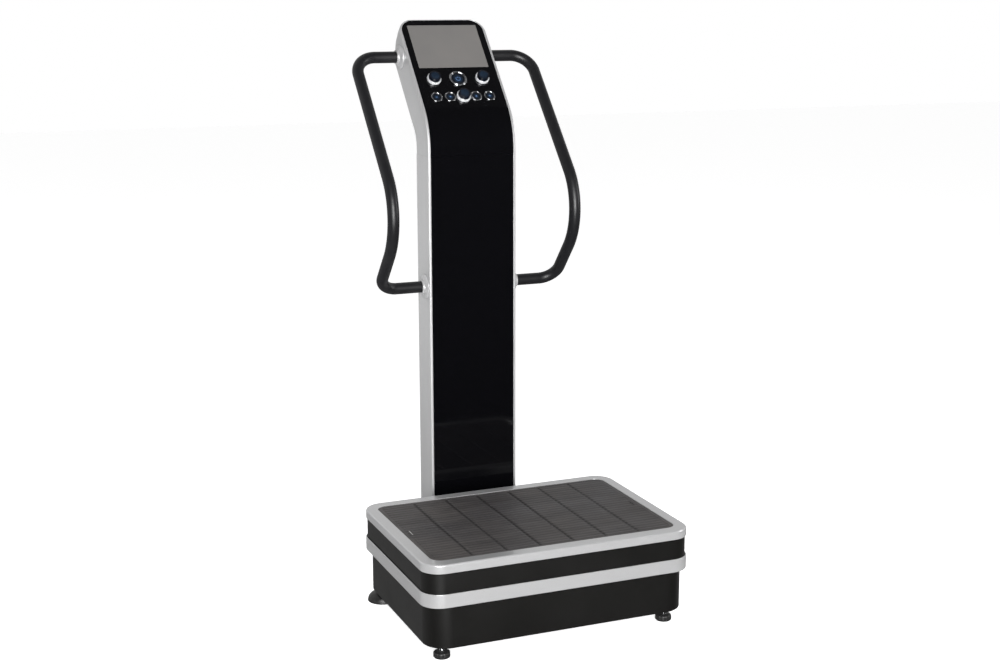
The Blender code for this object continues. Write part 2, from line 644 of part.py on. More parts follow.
def build_crank(machine, base_z):
    shaft_end = 0.036
    shaft = turned(pulley_profile(CRANK_PULLEY_RADIUS, CRANK_SHAFT_RADIUS, PULLEY_Y - PULLEY_HALF - 0.003,
                                  shaft_end), 24)
    crank = place("crankshaft", shaft, "steel", machine, (CRANK_X, 0.0, CRANK_Z), ALONG_Y)
    combine(crank, rod(CRANK_PIN_RADIUS, -ROD_HALF - 0.0015, ROD_HALF + 0.0015, 20), "UNION",
            at=(CRANK_X + CRANK_THROW, 0.0, CRANK_Z), turn=ALONG_Y)

    cradle = place("crank_bearing_block",
                   block((CRANK_X - 0.030, CRANK_X + 0.030), (-0.030, 0.032), (base_z, base_z + 0.0030)),
                   "steel", machine)
    for edges in ((-0.029, -0.019), (0.019, 0.029)):
        ear = block((CRANK_X - 0.018, CRANK_X + 0.018), edges, (base_z + 0.001, CRANK_Z + 0.016))
        combine(cradle, ear, "UNION")
    combine(cradle, rod(CRANK_SHAFT_RADIUS + GAP, -0.04, 0.04, 24), "DIFFERENCE",
            at=(CRANK_X, 0.0, CRANK_Z), turn=ALONG_Y)

    reach = ROD_PIN_Z - CRANK_Z
    link = place("connecting_rod", rod(ROD_RING_OUT, -ROD_HALF, ROD_HALF, 20), "steel", machine,
                 (CRANK_X, 0.0, ROD_PIN_Z), ALONG_Y)
    # along the rod's own Y, which points down once the rod is turned along Y
    link.data.transform(Matrix.Translation((0.0, reach, 0.0)))
    shank_half = ROD_HALF - 0.0005
    shank = block((-0.007, 0.007), (0.002, reach - ROD_RING_IN - 0.002), (-shank_half, shank_half))
    combine(link, shank, "UNION", at=(CRANK_X, 0.0, ROD_PIN_Z), turn=ALONG_Y)
    combine(link, rod(0.0095, -ROD_HALF + 0.0002, ROD_HALF - 0.0002, 20), "UNION",
            at=(CRANK_X, 0.0, ROD_PIN_Z), turn=ALONG_Y)
    combine(link, rod(ROD_PIN_RADIUS + GAP, -0.02, 0.02, 12), "DIFFERENCE",
            at=(CRANK_X, 0.0, ROD_PIN_Z), turn=ALONG_Y)
    combine(link, rod(ROD_RING_IN, -0.02, 0.02, 20), "DIFFERENCE",
            at=(CRANK_X, 0.0, CRANK_Z), turn=ALONG_Y)


def build_control_board(machine, base_z):
    board = place("control_board", block((0.178, 0.288), (-0.128, -0.022), (base_z + 0.006, base_z + 0.008)),
                  "circuit", machine)
    for x, y in ((0.243, -0.125), (0.257, -0.027)):
        post = block((x - 0.003, x + 0.003), (y - 0.0025, y + 0.0025), (base_z, base_z + 0.007))
        combine(board, post, "UNION")
    combine(board, block((0.184, 0.214), (-0.120, -0.040), (base_z + 0.007, base_z + 0.038)), "UNION")
    combine(board, rod(0.013, base_z + 0.007, base_z + 0.042, 16), "UNION", at=(0.250, -0.060, 0.0))
    combine(board, block((0.228, 0.272), (-0.116, -0.092), (base_z + 0.007, base_z + 0.024)), "UNION")


# ---- column --------------------------------------------------------------------------------------
def build_column(machine, console):
    rear = COLUMN_FRONT + COLUMN_DEPTH
    face_x = COLUMN_X - EDGE_STRIP
    for name, side in (("column_side_left", -1), ("column_side_right", 1)):
        outer = side * COLUMN_X
        inner = side * (COLUMN_X - SHELL)
        points = [(side * (COLUMN_X - 0.0012), COLUMN_FRONT), (outer, COLUMN_FRONT + 0.0012),
                  (outer, rear - 0.0015), (side * (COLUMN_X - 0.0015), rear),
                  (side * (COLUMN_X - REAR_FLANGE), rear), (side * (COLUMN_X - REAR_FLANGE), rear - SHELL),
                  (inner, rear - SHELL), (inner, COLUMN_FRONT + SHELL), (side * face_x, COLUMN_FRONT + SHELL),
                  (side * face_x, COLUMN_FRONT)]
        place(name, prism(points, COLUMN_BOTTOM, COLUMN_SEAM - GAP), "silver_paint", machine)
    panel = block((-face_x + GAP, face_x - GAP), (COLUMN_FRONT + GAP, COLUMN_FRONT + GAP + FACE_THICK),
                  (COLUMN_BOTTOM, COLUMN_SEAM - GAP))
    place("column_front_panel", panel, "black_gloss", machine)
    cover_x = COLUMN_X - REAR_FLANGE - GAP
    cover = block((-cover_x, cover_x), (rear - SHELL, rear - GAP), (COLUMN_BOTTOM, COLUMN_SEAM - GAP))
    place("column_rear_cover", cover, "silver_paint", machine)

    mast_low = PAN_TOP + RAIL + 2 * GAP
    middle_y = (MAST_FRONT + MAST_REAR) / 2
    half_y = (MAST_REAR - MAST_FRONT) / 2
    outer = [(x, y + middle_y) for x, y in rounded_outline(MAST_X, half_y, 0.005, 2)]
    inner = [(x, y + middle_y) for x, y in rounded_outline(MAST_X - MAST_WALL, half_y - MAST_WALL, 0.002, 2)]
    tube = hoop([(outer, mast_low + 0.002), (outer, 1.120), (inner, 1.120), (inner, mast_low + 0.002)])
    mast = place("column_mast", tube, "steel", machine)
    combine(mast, block((-0.085, 0.085), (0.318, 0.384), (mast_low, mast_low + 0.006)), "UNION")
    combine(mast, block((-0.025, 0.025), (-0.050, 0.212), (-0.070, -0.042)), "UNION", parent=console)
    bar_half = COLUMN_X - EDGE_STRIP - 0.0006
    combine(mast, rod(0.0120, -bar_half, bar_half, 16), "UNION",
            at=(0.0, HANDLE_TOP[0], HANDLE_TOP[1]), turn=ALONG_X)
    bar_half = COLUMN_X - SHELL - 0.0006
    combine(mast, rod(0.0120, -bar_half, bar_half, 16), "UNION",
            at=(0.0, HANDLE_LOW[0], HANDLE_LOW[1]), turn=ALONG_X)


# ---- console -------------------------------------------------------------------------------------
def build_console(machine, console):
    face_x = COLUMN_X - EDGE_STRIP
    shell = place("console_shell", side_prism(console_outline(0.0, COLUMN_DEPTH, 0.0, COLUMN_SEAM), COLUMN_X),
                  "silver_paint", machine)
    combine(shell, face_rounding(COLUMN_X, CORNER_RADIUS, FACE_TOP), "INTERSECT", parent=console)
    cavity = side_prism(console_outline(-0.010, COLUMN_DEPTH - SHELL, END_WALL, COLUMN_SEAM - 0.01), face_x)
    cavity_helper = place("console_cavity", cavity, "steel", machine)
    cavity_helper.hide_render = True
    cavity_helper.display_type = "WIRE"
    end_top = FACE_TOP - END_WALL * math.sqrt(1 + END_SLOPE ** 2)
    inner_radius = CORNER_RADIUS - EDGE_STRIP
    combine(cavity_helper, face_rounding(face_x, inner_radius, end_top), "INTERSECT", parent=console)
    cut = shell.modifiers.new("hollow", "BOOLEAN")
    cut.operation = "DIFFERENCE"
    cut.solver = "EXACT"
    cut.object = cavity_helper

    slack = GAP * 1.2
    sheet = side_prism(console_outline(GAP, GAP + FACE_THICK, END_WALL + slack, COLUMN_SEAM), face_x - GAP)
    face = place("console_face", sheet, "black_gloss", machine)
    combine(face, face_rounding(face_x - GAP, inner_radius, end_top - slack), "INTERSECT", parent=console)
    window = block((-SCREEN_X - GAP, SCREEN_X + GAP), (SCREEN_LOW - GAP, SCREEN_HIGH + GAP), (-0.02, 0.02))
    combine(face, window, "DIFFERENCE", parent=console)
    for _, x, up, kind in CONTROLS:
        barrel = CONTROL_SIZES[kind][2]
        combine(face, rod(barrel + GAP, -0.02, 0.02, 20), "DIFFERENCE", parent=console, at=(x, up, 0.0))

    place("screen_glass", block((-SCREEN_X, SCREEN_X), (SCREEN_LOW, SCREEN_HIGH), (-0.0027, -GAP)),
          "screen", console)
    module = block((-0.094, 0.094), (SCREEN_LOW - 0.0005, SCREEN_HIGH + 0.0005), (-0.0140, -0.0037))
    place("display_module", module, "black_plastic", console)
    build_controls(console)


def build_controls(console):
    plate = block((-0.092, 0.092), (0.012, 0.112), (CONSOLE_BOARD_Z - 0.0016, CONSOLE_BOARD_Z))
    board = place("console_board", plate, "circuit", console)
    for name, x, up, kind in CONTROLS:
        ring_radius, ring_height, barrel, cap_radius, cap_height = CONTROL_SIZES[kind]
        bore = cap_radius + CAP_CLEARANCE
        edge = 0.0006
        ring = turned([
            (bore, -BARREL_DEPTH), (barrel, -BARREL_DEPTH), (barrel, 2 * GAP), (ring_radius, 2 * GAP),
            (ring_radius, ring_height - 2 * edge), (ring_radius - 2 * edge, ring_height),
            (bore + edge, ring_height), (bore, ring_height - edge),
        ], 18, closed=True)
        place(f"{name}_ring", ring, "chrome", console, (x, up, 0.0))
        dome = 0.0025 if kind == "raised" else 0.0004
        cap = turned([
            (0.0, -STEM_END), (0.0035, -STEM_END), (0.0035, -0.0045), (cap_radius, -0.0045),
            (cap_radius, cap_height - dome), (cap_radius * 0.72, cap_height - dome * 0.25), (0.0, cap_height),
        ], 18)
        place(f"{name}_button", cap, "navy_cap", console, (x, up, 0.0))
        key = rod(0.0045, CONSOLE_BOARD_Z - 0.0008, CONSOLE_BOARD_Z + 0.0012, 8)
        combine(board, key, "UNION", at=(x, up, 0.0))


# ---- handles -------------------------------------------------------------------------------------
def build_handles(machine):
    start_x = COLUMN_X + 0.0008
    for name, side in (("handle_left", -1), ("handle_right", 1)):
        corners = [
            (start_x, *HANDLE_TOP), (HANDLE_X, *HANDLE_TOP), (HANDLE_X, *HANDLE_KNEE),
            (HANDLE_X, *HANDLE_LOW), (start_x, *HANDLE_LOW),
        ]
        path = rounded_path([(side * x, y, z) for x, y, z in corners], HANDLE_BENDS)
        curve = bpy.data.curves.new(name, "CURVE")
        curve.dimensions = "3D"
        curve.bevel_depth = TUBE_RADIUS
        curve.bevel_resolution = 2
        curve.use_fill_caps = True
        spline = curve.splines.new("POLY")
        spline.points.add(len(path) - 1)
        for point, place_at in zip(spline.points, path):
            point.co = (*place_at, 1.0)
        curve.materials.append(finish_material("black_satin"))
        tube = bpy.data.objects.new(name, curve)
        bpy.context.collection.objects.link(tube)
        tube.parent = machine
        for end, (y, z) in (("upper", HANDLE_TOP), ("lower", HANDLE_LOW)):
            flange = turned([
                (TUBE_RADIUS + GAP, 0.0), (0.0310, 0.0), (0.0310, 0.0030), (0.0285, 0.0050),
                (0.0200, 0.0062), (0.0185, 0.0120), (TUBE_RADIUS + GAP, 0.0120),
            ], 20, closed=True)
            place(f"{name}_{end}_flange", flange, "silver_paint", machine,
                  (side * (COLUMN_X + GAP), y, z), (0.0, side * math.pi / 2, 0.0))


def main():
    clear_scene()
    machine = empty("machine", None, (0.0, DECK_Y, 0.0))
    console = empty("console_plane", machine, (0.0, FACE_START.x, FACE_START.y),
                    (math.pi / 2 - TILT, 0.0, 0.0))
    build_base(machine)
    build_deck(machine)
    build_drive(machine)
    build_column(machine, console)
    build_console(machine, console)
    build_handles(machine)


main()
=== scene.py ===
import json
import math

import bmesh
import bpy
import numpy as np
from mathutils import Matrix, Vector
from mathutils.geometry import delaunay_2d_cdt


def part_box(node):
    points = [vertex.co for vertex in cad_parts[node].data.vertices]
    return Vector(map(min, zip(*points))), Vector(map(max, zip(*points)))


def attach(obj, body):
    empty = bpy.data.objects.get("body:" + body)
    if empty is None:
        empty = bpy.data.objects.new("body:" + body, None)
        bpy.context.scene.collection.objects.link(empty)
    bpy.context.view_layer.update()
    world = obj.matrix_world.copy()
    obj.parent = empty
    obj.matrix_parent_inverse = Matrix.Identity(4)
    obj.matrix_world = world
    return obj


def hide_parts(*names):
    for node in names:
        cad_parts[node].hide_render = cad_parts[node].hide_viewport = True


# Looks of the standing vibration plate, in metres. The floor is z = 0 and the user stands towards -Y.

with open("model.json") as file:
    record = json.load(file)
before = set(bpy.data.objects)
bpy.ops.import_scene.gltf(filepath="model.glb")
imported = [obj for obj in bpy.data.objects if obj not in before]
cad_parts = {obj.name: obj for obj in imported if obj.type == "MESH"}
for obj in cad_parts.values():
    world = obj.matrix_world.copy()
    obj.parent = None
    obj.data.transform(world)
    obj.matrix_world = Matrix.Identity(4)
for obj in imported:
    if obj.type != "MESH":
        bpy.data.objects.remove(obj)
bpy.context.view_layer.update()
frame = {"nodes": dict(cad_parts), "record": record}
print("frame loaded:", len(frame["nodes"]), "nodes")

gap = 0.0003  # air between pieces that touch


def low(node):
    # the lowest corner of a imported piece's box
    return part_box(node)[0]


def high(node):
    # and its highest corner
    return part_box(node)[1]


deckMidY = (low("deck_rim").y + high("deck_rim").y) / 2
columnFrontY = low("column_side_left").y
columnDepth = high("column_side_left").y - columnFrontY
columnHalfX = high("column_side_right").x
seamZ = low("console_shell").z


def material(name, colour, roughness, metallic=0.0, **sockets):
    # a Principled shader with its constants set on its own sockets
    made = bpy.data.materials.new(name)
    made.use_nodes = True
    shader = made.node_tree.nodes["Principled BSDF"]
    shader.inputs["Base Color"].default_value = (*colour, 1)
    shader.inputs["Roughness"].default_value = roughness
    shader.inputs["Metallic"].default_value = metallic
    for socket, value in sockets.items():
        shader.inputs[socket.replace("_", " ")].default_value = value
    return made


def node(made, kind, settings=None, **inputs):
    # adds a shader node; an input is linked if it is another node's output and set if it is a number
    added = made.node_tree.nodes.new(kind)
    for key, value in (settings or {}).items():
        setattr(added, key, value)
    for key, value in inputs.items():
        socket = added.inputs[key.replace("_", " ")]
        if hasattr(value, "links"):
            made.node_tree.links.new(value, socket)
        else:
            socket.default_value = value
    return added


def places(made, scale=(1, 1, 1)):
    # the piece's own coordinates, stretched by a Mapping node
    coordinates = node(made, "ShaderNodeTexCoord").outputs["Object"]
    return node(made, "ShaderNodeMapping", Vector=coordinates, Scale=scale).outputs["Vector"]


def noise(made, scale, detail=3.0, roughness=0.5, vector=None, stretch=(1, 1, 1)):
    # cloudy values from 0 to 1, mostly between 0.3 and 0.7
    return node(made, "ShaderNodeTexNoise", Vector=vector or places(made, stretch), Scale=scale,
                Detail=detail, Roughness=roughness).outputs["Fac"]


def spread(made, value, fromLow, fromHigh, toLow, toHigh):
    # carries a value from one range to another in a straight line
    return node(made, "ShaderNodeMapRange", Value=value, From_Min=fromLow, From_Max=fromHigh, To_Min=toLow,
                To_Max=toHigh).outputs["Result"]


def blend(made, share, first, second):
    # two colours mixed by a share
    mixed = node(made, "ShaderNodeMix", {"data_type": "RGBA"})
    mixed.inputs["Factor"].default_value = 1.0
    for index, value in ((0, share), (6, first), (7, second)):
        if hasattr(value, "links"):
            made.node_tree.links.new(value, mixed.inputs[index])
        else:
            mixed.inputs[index].default_value = value if index == 0 else (*value, 1)
    return mixed.outputs[2]


def mottled(made, value, fromLow, fromHigh, most, first, second):
    # turns from first to second, up to the share most, as value goes from fromLow to fromHigh
    return blend(made, spread(made, value, fromLow, fromHigh, 0.0, most), first, second)


def arithmetic(made, how, first, second):
    # one sum of two values
    sums = node(made, "ShaderNodeMath", {"operation": how})
    for index, value in enumerate((first, second)):
        if hasattr(value, "links"):
            made.node_tree.links.new(value, sums.inputs[index])
        else:
            sums.inputs[index].default_value = value
    return sums.outputs[0]


def shade(made, **links):
    # links outputs into the shader's sockets
    shader = made.node_tree.nodes["Principled BSDF"]
    for socket, value in links.items():
        made.node_tree.links.new(value, shader.inputs[socket.replace("_", " ")])
    return made


def bumped(made, height, strength, distance):
    # a relief in the normals from a height
    bump = node(made, "ShaderNodeBump", Height=height, Strength=strength, Distance=distance)
    return shade(made, Normal=bump.outputs["Normal"])


def silverPaint(name, colour, roughness, coat, flake):
    # sprayed silver: fine metal flakes in the colour, a faint orange peel, a clear coat over it
    made = material(name, colour, roughness, 0.55, Coat_Weight=coat, Coat_Roughness=0.06, Coat_IOR=1.5)
    flakes = noise(made, 2600, 1.0)
    cloudy = noise(made, 9, 3.0)
    dark = tuple(c * (1 - flake) for c in colour)
    light = tuple(min(1, c * (1 + flake)) for c in colour)
    flecked = mottled(made, flakes, 0.35, 0.65, 1, dark, light)
    tone = mottled(made, cloudy, 0.3, 0.7, 0.25, flecked, tuple(c * 0.93 for c in colour))
    shade(made, Base_Color=tone, Roughness=spread(made, cloudy, 0.3, 0.7, roughness * 0.92, roughness * 1.08))
    return bumped(made, noise(made, 420, 2.0), 0.05, 0.0004)


def mouldedBlack():
    # satin black ABS: pebbled by the mould, rubbed a little smoother in broad patches
    made = material("mouldedBlack", (0.007, 0.0068, 0.0064), 0.34, 0.0, IOR=1.5, Specular_IOR_Level=0.42)
    pebbles = node(made, "ShaderNodeTexVoronoi", Vector=places(made), Scale=900).outputs["Distance"]
    rubbed = noise(made, 6, 4.0, 0.6)
    dust = noise(made, 70, 6.0, 0.7)
    shade(made, Roughness=spread(made, rubbed, 0.3, 0.7, 0.31, 0.41),
          Base_Color=mottled(made, dust, 0.55, 0.8, 0.35, (0.0044, 0.0042, 0.0039), (0.0095, 0.0090, 0.0083)))
    return bumped(made, pebbles, 0.14, 0.0003)


def glossBlack():
    # black acrylic sheet: mirror smooth, with wiped streaks and a few specks of dust
    made = material("glossBlack", (0.0035, 0.0035, 0.0042), 0.05, 0.0, IOR=1.42)
    wiped = noise(made, 5, 5.0, 0.65, stretch=(1, 1, 0.35))
    specks = noise(made, 620, 1.0)
    shade(made, Roughness=spread(made, wiped, 0.35, 0.75, 0.03, 0.09),
          Base_Color=mottled(made, specks, 0.72, 0.8, 0.4, (0.0016, 0.0016, 0.0021), (0.02, 0.02, 0.022)))
    return bumped(made, noise(made, 3.5, 1.0), 0.02, 0.002)


def powderBlack():
    # powder-coated tube: a close grain in the surface and a soft sheen
    made = material("powderBlack", (0.008, 0.008, 0.009), 0.38, 0.0, IOR=1.5, Specular_IOR_Level=0.36)
    grain = noise(made, 1100, 2.0)
    worn = noise(made, 14, 4.0, 0.6)
    shade(made, Roughness=spread(made, worn, 0.3, 0.7, 0.33, 0.43),
          Base_Color=mottled(made, worn, 0.5, 0.8, 0.4, (0.007, 0.007, 0.008), (0.014, 0.014, 0.015)))
    return bumped(made, grain, 0.10, 0.0003)


def matRubber(top):
    # dark ribbed rubber: trodden patches, pale dust on the ribs, painted shade darkening the colour where the
    # surface is sunk in the grooves, a fine pitted skin
    made = material("matRubber", (0.062, 0.058, 0.057), 0.55, 0.0, IOR=1.5, Specular_IOR_Level=0.33)
    trodden = noise(made, 5.5, 5.0, 0.62)
    dust = noise(made, 160, 6.0, 0.75)
    skin = node(made, "ShaderNodeTexVoronoi", Vector=places(made), Scale=1500).outputs["Distance"]
    height = node(made, "ShaderNodeSeparateXYZ", Vector=places(made)).outputs["Z"]
    # painted shade: the colour runs to near black as the surface sinks into the grooves between the ribs
    sunk = spread(made, height, top - 0.0024, top - 0.0001, 1.0, 0.0)
    grimy = noise(made, 22, 4.0, 0.6, stretch=(0.25, 1, 1))
    tone = mottled(made, trodden, 0.32, 0.68, 1.0, (0.056, 0.053, 0.055), (0.076, 0.069, 0.066))
    tone = blend(made, sunk, tone, (0.006, 0.0055, 0.0055))
    tone = mottled(made, grimy, 0.42, 0.70, 0.55, tone, (0.018, 0.016, 0.016))
    shade(made, Base_Color=mottled(made, dust, 0.56, 0.78, 0.22, tone, (0.16, 0.15, 0.145)),
          Roughness=spread(made, trodden, 0.3, 0.7, 0.46, 0.62))
    return bumped(made, skin, 0.2, 0.0003)


def footRubber():
    # hard black rubber, dusty low down and faintly pitted
    made = material("footRubber", (0.012, 0.012, 0.012), 0.42, 0.0)
    blotches = noise(made, 120, 4.0, 0.65)
    shade(made, Roughness=spread(made, blotches, 0.3, 0.7, 0.34, 0.5),
          Base_Color=mottled(made, blotches, 0.5, 0.8, 0.5, (0.011, 0.011, 0.011), (0.035, 0.034, 0.033)))
    return bumped(made, noise(made, 900, 3.0), 0.15, 0.0003)


def platedChrome(name, roughness, metallic=1.0):
    # plated plastic: a clean mirror, or a satin one, with faint fingermarks
    made = material(name, (0.80, 0.81, 0.83), roughness, metallic)
    marks = noise(made, 90, 4.0, 0.6)
    shade(made, Roughness=spread(made, marks, 0.35, 0.75, roughness * 0.8, roughness * 1.5),
          Base_Color=mottled(made, marks, 0.45, 0.8, 0.4, (0.80, 0.81, 0.83), (0.66, 0.67, 0.70)))
    return bumped(made, noise(made, 300, 2.0), 0.02, 0.0003)


def navyCap(name, dark, light):
    # dark blue tinted moulding: glossy, with a slow change of depth in the tint
    made = material(name, light, 0.12, 0.0, IOR=1.45, Coat_Weight=0.3, Coat_Roughness=0.04)
    depth = noise(made, 55, 3.0)
    shade(made, Base_Color=mottled(made, depth, 0.3, 0.7, 1.0, dark, light),
          Roughness=spread(made, depth, 0.3, 0.7, 0.08, 0.15))
    return bumped(made, noise(made, 700, 2.0), 0.03, 0.0003)


def symbolInk():
    # pale blue printing ink, slightly uneven as screen print is
    made = material("symbolInk", (0.06, 0.12, 0.25), 0.45)
    uneven = noise(made, 1500, 3.0)
    shade(made, Base_Color=mottled(made, uneven, 0.3, 0.7, 1.0, (0.045, 0.095, 0.21), (0.08, 0.15, 0.30)))
    return bumped(made, uneven, 0.1, 0.0001)


def idleScreen():
    # switched-off liquid crystal panel behind film: warm grey, a fine cell pattern, a slight cloudiness
    made = material("idleScreen", (0.170, 0.163, 0.156), 0.30, 0.0, IOR=1.5, Coat_Weight=0.25,
                    Coat_Roughness=0.15)
    cloudy = noise(made, 11, 2.0)
    cells = node(made, "ShaderNodeTexChecker", Vector=places(made), Scale=1400).outputs["Fac"]
    tone = mottled(made, cloudy, 0.3, 0.7, 1.0, (0.130, 0.126, 0.122), (0.146, 0.139, 0.133))
    shade(made, Base_Color=blend(made, arithmetic(made, "MULTIPLY", cells, 0.12), tone, (0.12, 0.12, 0.12)))
    return bumped(made, noise(made, 1800, 1.0), 0.04, 0.0002)


def paintedSteel(name, colour):
    # enamel on welded steel: runs, dull patches and rubbed-through spots
    made = material(name, colour, 0.45, 0.3)
    runs = noise(made, 18, 5.0, 0.6, stretch=(1, 1, 0.4))
    chips = noise(made, 130, 2.0)
    tone = mottled(made, runs, 0.3, 0.7, 1.0, tuple(c * 0.85 for c in colour),
                   tuple(c * 1.12 for c in colour))
    shade(made, Base_Color=mottled(made, chips, 0.70, 0.76, 1.0, tone, (0.20, 0.12, 0.08)),
          Roughness=spread(made, runs, 0.3, 0.7, 0.36, 0.55))
    return bumped(made, noise(made, 260, 3.0), 0.12, 0.0005)


def turnedSteel():
    # machined steel: fine tool lines and a film of oil
    made = material("turnedSteel", (0.56, 0.56, 0.57), 0.28, 1.0)
    lines = noise(made, 240, 3.0, 0.5, stretch=(1, 12, 1))
    shade(made, Roughness=spread(made, lines, 0.3, 0.7, 0.2, 0.4),
          Base_Color=mottled(made, lines, 0.3, 0.7, 1.0, (0.50, 0.50, 0.51), (0.62, 0.62, 0.62)))
    return bumped(made, lines, 0.08, 0.0003)


def plyBoard():
    # birch ply: long grain along X with darker rings and open pores
    made = material("plyBoard", (0.45, 0.31, 0.18), 0.6)
    rings = node(made, "ShaderNodeTexWave", {"wave_type": "RINGS", "rings_direction": "X"},
                 Vector=places(made, (0.15, 1, 1)), Scale=14.0, Distortion=6.0, Detail=3.0).outputs["Fac"]
    pores = noise(made, 500, 3.0, stretch=(0.05, 1, 1))
    tone = blend(made, rings, (0.50, 0.35, 0.20), (0.33, 0.21, 0.11))
    shade(made, Base_Color=mottled(made, pores, 0.55, 0.75, 0.6, tone, (0.18, 0.11, 0.06)))
    return bumped(made, pores, 0.2, 0.0004)


def circuitBoard():
    # green lacquered board with fine copper runs under the lacquer
    made = material("circuitBoard", (0.01, 0.10, 0.035), 0.3, 0.0, Coat_Weight=0.5, Coat_Roughness=0.1)
    runs = node(made, "ShaderNodeTexBrick", Vector=places(made, (1, 1, 1)), Scale=60.0,
                Mortar_Size=0.03).outputs["Fac"]
    shade(made, Base_Color=blend(made, runs, (0.008, 0.085, 0.03), (0.03, 0.20, 0.07)))
    return bumped(made, runs, 0.2, 0.0002)


def beltRubber():
    # black belt with cord lines across its run
    made = material("beltRubber", (0.014, 0.014, 0.014), 0.6)
    lines = node(made, "ShaderNodeTexWave", {"bands_direction": "X"}, Vector=places(made), Scale=160.0,
                 Distortion=0.2).outputs["Fac"]
    shade(made, Base_Color=blend(made, lines, (0.010, 0.010, 0.010), (0.028, 0.027, 0.026)))
    return bumped(made, lines, 0.3, 0.0005)


def flatMarkColour(name, colour):
    # a dull flat colour, scuffed in spots; the mat's two marks use it, a pale painted highlight and a dark
    # painted slot shade
    made = material(name, colour, 0.7)
    scuffs = noise(made, 300, 3.0)
    shade(made, Roughness=spread(made, scuffs, 0.3, 0.7, 0.6, 0.85),
          Base_Color=mottled(made, scuffs, 0.4, 0.7, 1.0, colour, tuple(c * 0.8 for c in colour)))
    return bumped(made, noise(made, 800, 2.0), 0.1, 0.0003)


finishes = {
    "silver_paint": silverPaint("silverPaint", (0.50, 0.50, 0.505), 0.40, 0.25, 0.10),
    "deck_silver": silverPaint("deckSilver", (0.52, 0.52, 0.525), 0.30, 0.60, 0.08),
    "black_plastic": mouldedBlack(),
    "black_gloss": glossBlack(),
    "handle_black": powderBlack(),
    "mat_rubber": matRubber(high("standing_mat").z),
    "foot_rubber": footRubber(),
    "chrome": platedChrome("brightChrome", 0.04),
    "button_navy": navyCap("navyCap", (0.0012, 0.0020, 0.0045), (0.0022, 0.0038, 0.0085)),
    "screen": idleScreen(),
    "steel": paintedSteel("paintedSteel", (0.10, 0.10, 0.105)),
    "machined_steel": turnedSteel(),
    "board_wood": plyBoard(),
    "circuit": circuitBoard(),
    "motor_grey": paintedSteel("motorGrey", (0.16, 0.17, 0.18)),
    "belt_rubber": beltRubber(),
}
satinChrome = platedChrome("satinChrome", 0.26, 0.45)
blueInsert = navyCap("blueInsert", (0.0050, 0.0105, 0.0200), (0.0085, 0.0170, 0.0310))
ink = symbolInk()
# the mat's two marks: a painted highlight of a strap clip and painted shade of a strap slot
paintedSlotShade = flatMarkColour("paintedSlotShade", (0.006, 0.006, 0.006))
paintedClipHighlight = flatMarkColour("paintedClipHighlight", (0.42, 0.42, 0.41))
print("finishes made:", len(finishes) + 5)


def quadsOf(rows, columns, wrapRows=False, wrapColumns=False):
    # corner numbers of every cell of a rows x columns grid
    r = np.arange(rows if wrapRows else rows - 1)[:, None]
    c = np.arange(columns if wrapColumns else columns - 1)[None, :]
    right = (c + 1) % columns
    above = (r + 1) % rows
    cells = np.stack([r * columns + c, r * columns + right, above * columns + right, above * columns + c], -1)
    return cells.reshape(-1, 4)


def finishPiece(name, mesh, finish, body, stands=(), bevel=0.0, sharp=38):
    # merges doubles, turns every face outwards, rounds edges if asked and hands the piece to its body
    bm = bmesh.new()
    bm.from_mesh(mesh)
    bmesh.ops.remove_doubles(bm, verts=bm.verts, dist=1e-6)
    bmesh.ops.dissolve_degenerate(bm, edges=bm.edges, dist=1e-7)
    bmesh.ops.recalc_face_normals(bm, faces=bm.faces)
    bm.to_mesh(mesh)
    bm.free()
    mesh.shade_smooth()
    mesh.set_sharp_from_angle(angle=math.radians(sharp))
    mesh.materials.append(finish)
    piece = bpy.data.objects.new(name, mesh)
    bpy.context.collection.objects.link(piece)
    if bevel:
        rounding = piece.modifiers.new("edges", "BEVEL")
        rounding.width = bevel
        rounding.segments = 2
        rounding.limit_method = "ANGLE"
        rounding.angle_limit = math.radians(40)
    even = piece.modifiers.new("evenNormals", "WEIGHTED_NORMAL")
    even.keep_sharp = True
    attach(piece, body)
    if stands:
        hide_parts(*stands)
    return piece


def endFaces(rows, columns):
    # corner numbers of the two faces that close a tube's first and last row
    return np.array([np.arange(columns), (rows - 1) * columns + np.arange(columns)])


def gridMesh(name, grid, wrapRows=False, wrapColumns=False, capRows=False, capColumns=False):
    # grid is rows x columns x 3; a cap closes the two end rows or end columns with one face each
    rows, columns = grid.shape[:2]
    faces = quadsOf(rows, columns, wrapRows, wrapColumns).tolist()
    if capRows:
        faces += endFaces(rows, columns).tolist()
    if capColumns:
        first = np.arange(rows) * columns
        faces += [first.tolist(), (first + columns - 1).tolist()]
    mesh = bpy.data.meshes.new(name)
    mesh.from_pydata(grid.reshape(-1, 3).tolist(), [], faces)
    return mesh


def quarter(steps, start=0.0, sweep=math.pi / 2):
    # cosines and sines along an arc
    angle = start + sweep * np.linspace(0, 1, steps + 1)
    return np.cos(angle), np.sin(angle)


def roundedLoop(halfX, halfY, radius, arcSteps=14, runSteps=6):
    # a rounded rectangle as points and outward directions: four quarter circles joined by even straight runs
    points, outwards = [], []
    for corner, (sideX, sideY) in enumerate(((1, 1), (-1, 1), (-1, -1), (1, -1))):
        cosine, sine = quarter(arcSteps, corner * math.pi / 2)
        centre = np.array([sideX * (halfX - radius), sideY * (halfY - radius)])
        direction = np.stack([cosine, sine], 1)
        points.append(centre + radius * direction)
        outwards.append(direction)
    runs = []
    for corner in range(4):
        start, end = points[corner][-1], points[(corner + 1) % 4][0]
        share = np.linspace(0, 1, runSteps + 1)[1:-1, None]
        runs.append((start + (end - start) * share, np.repeat(outwards[corner][-1:], runSteps - 1, 0)))
    path = np.concatenate([np.concatenate([points[i], runs[i][0]]) for i in range(4)])
    facing = np.concatenate([np.concatenate([outwards[i], runs[i][1]]) for i in range(4)])
    return path, facing


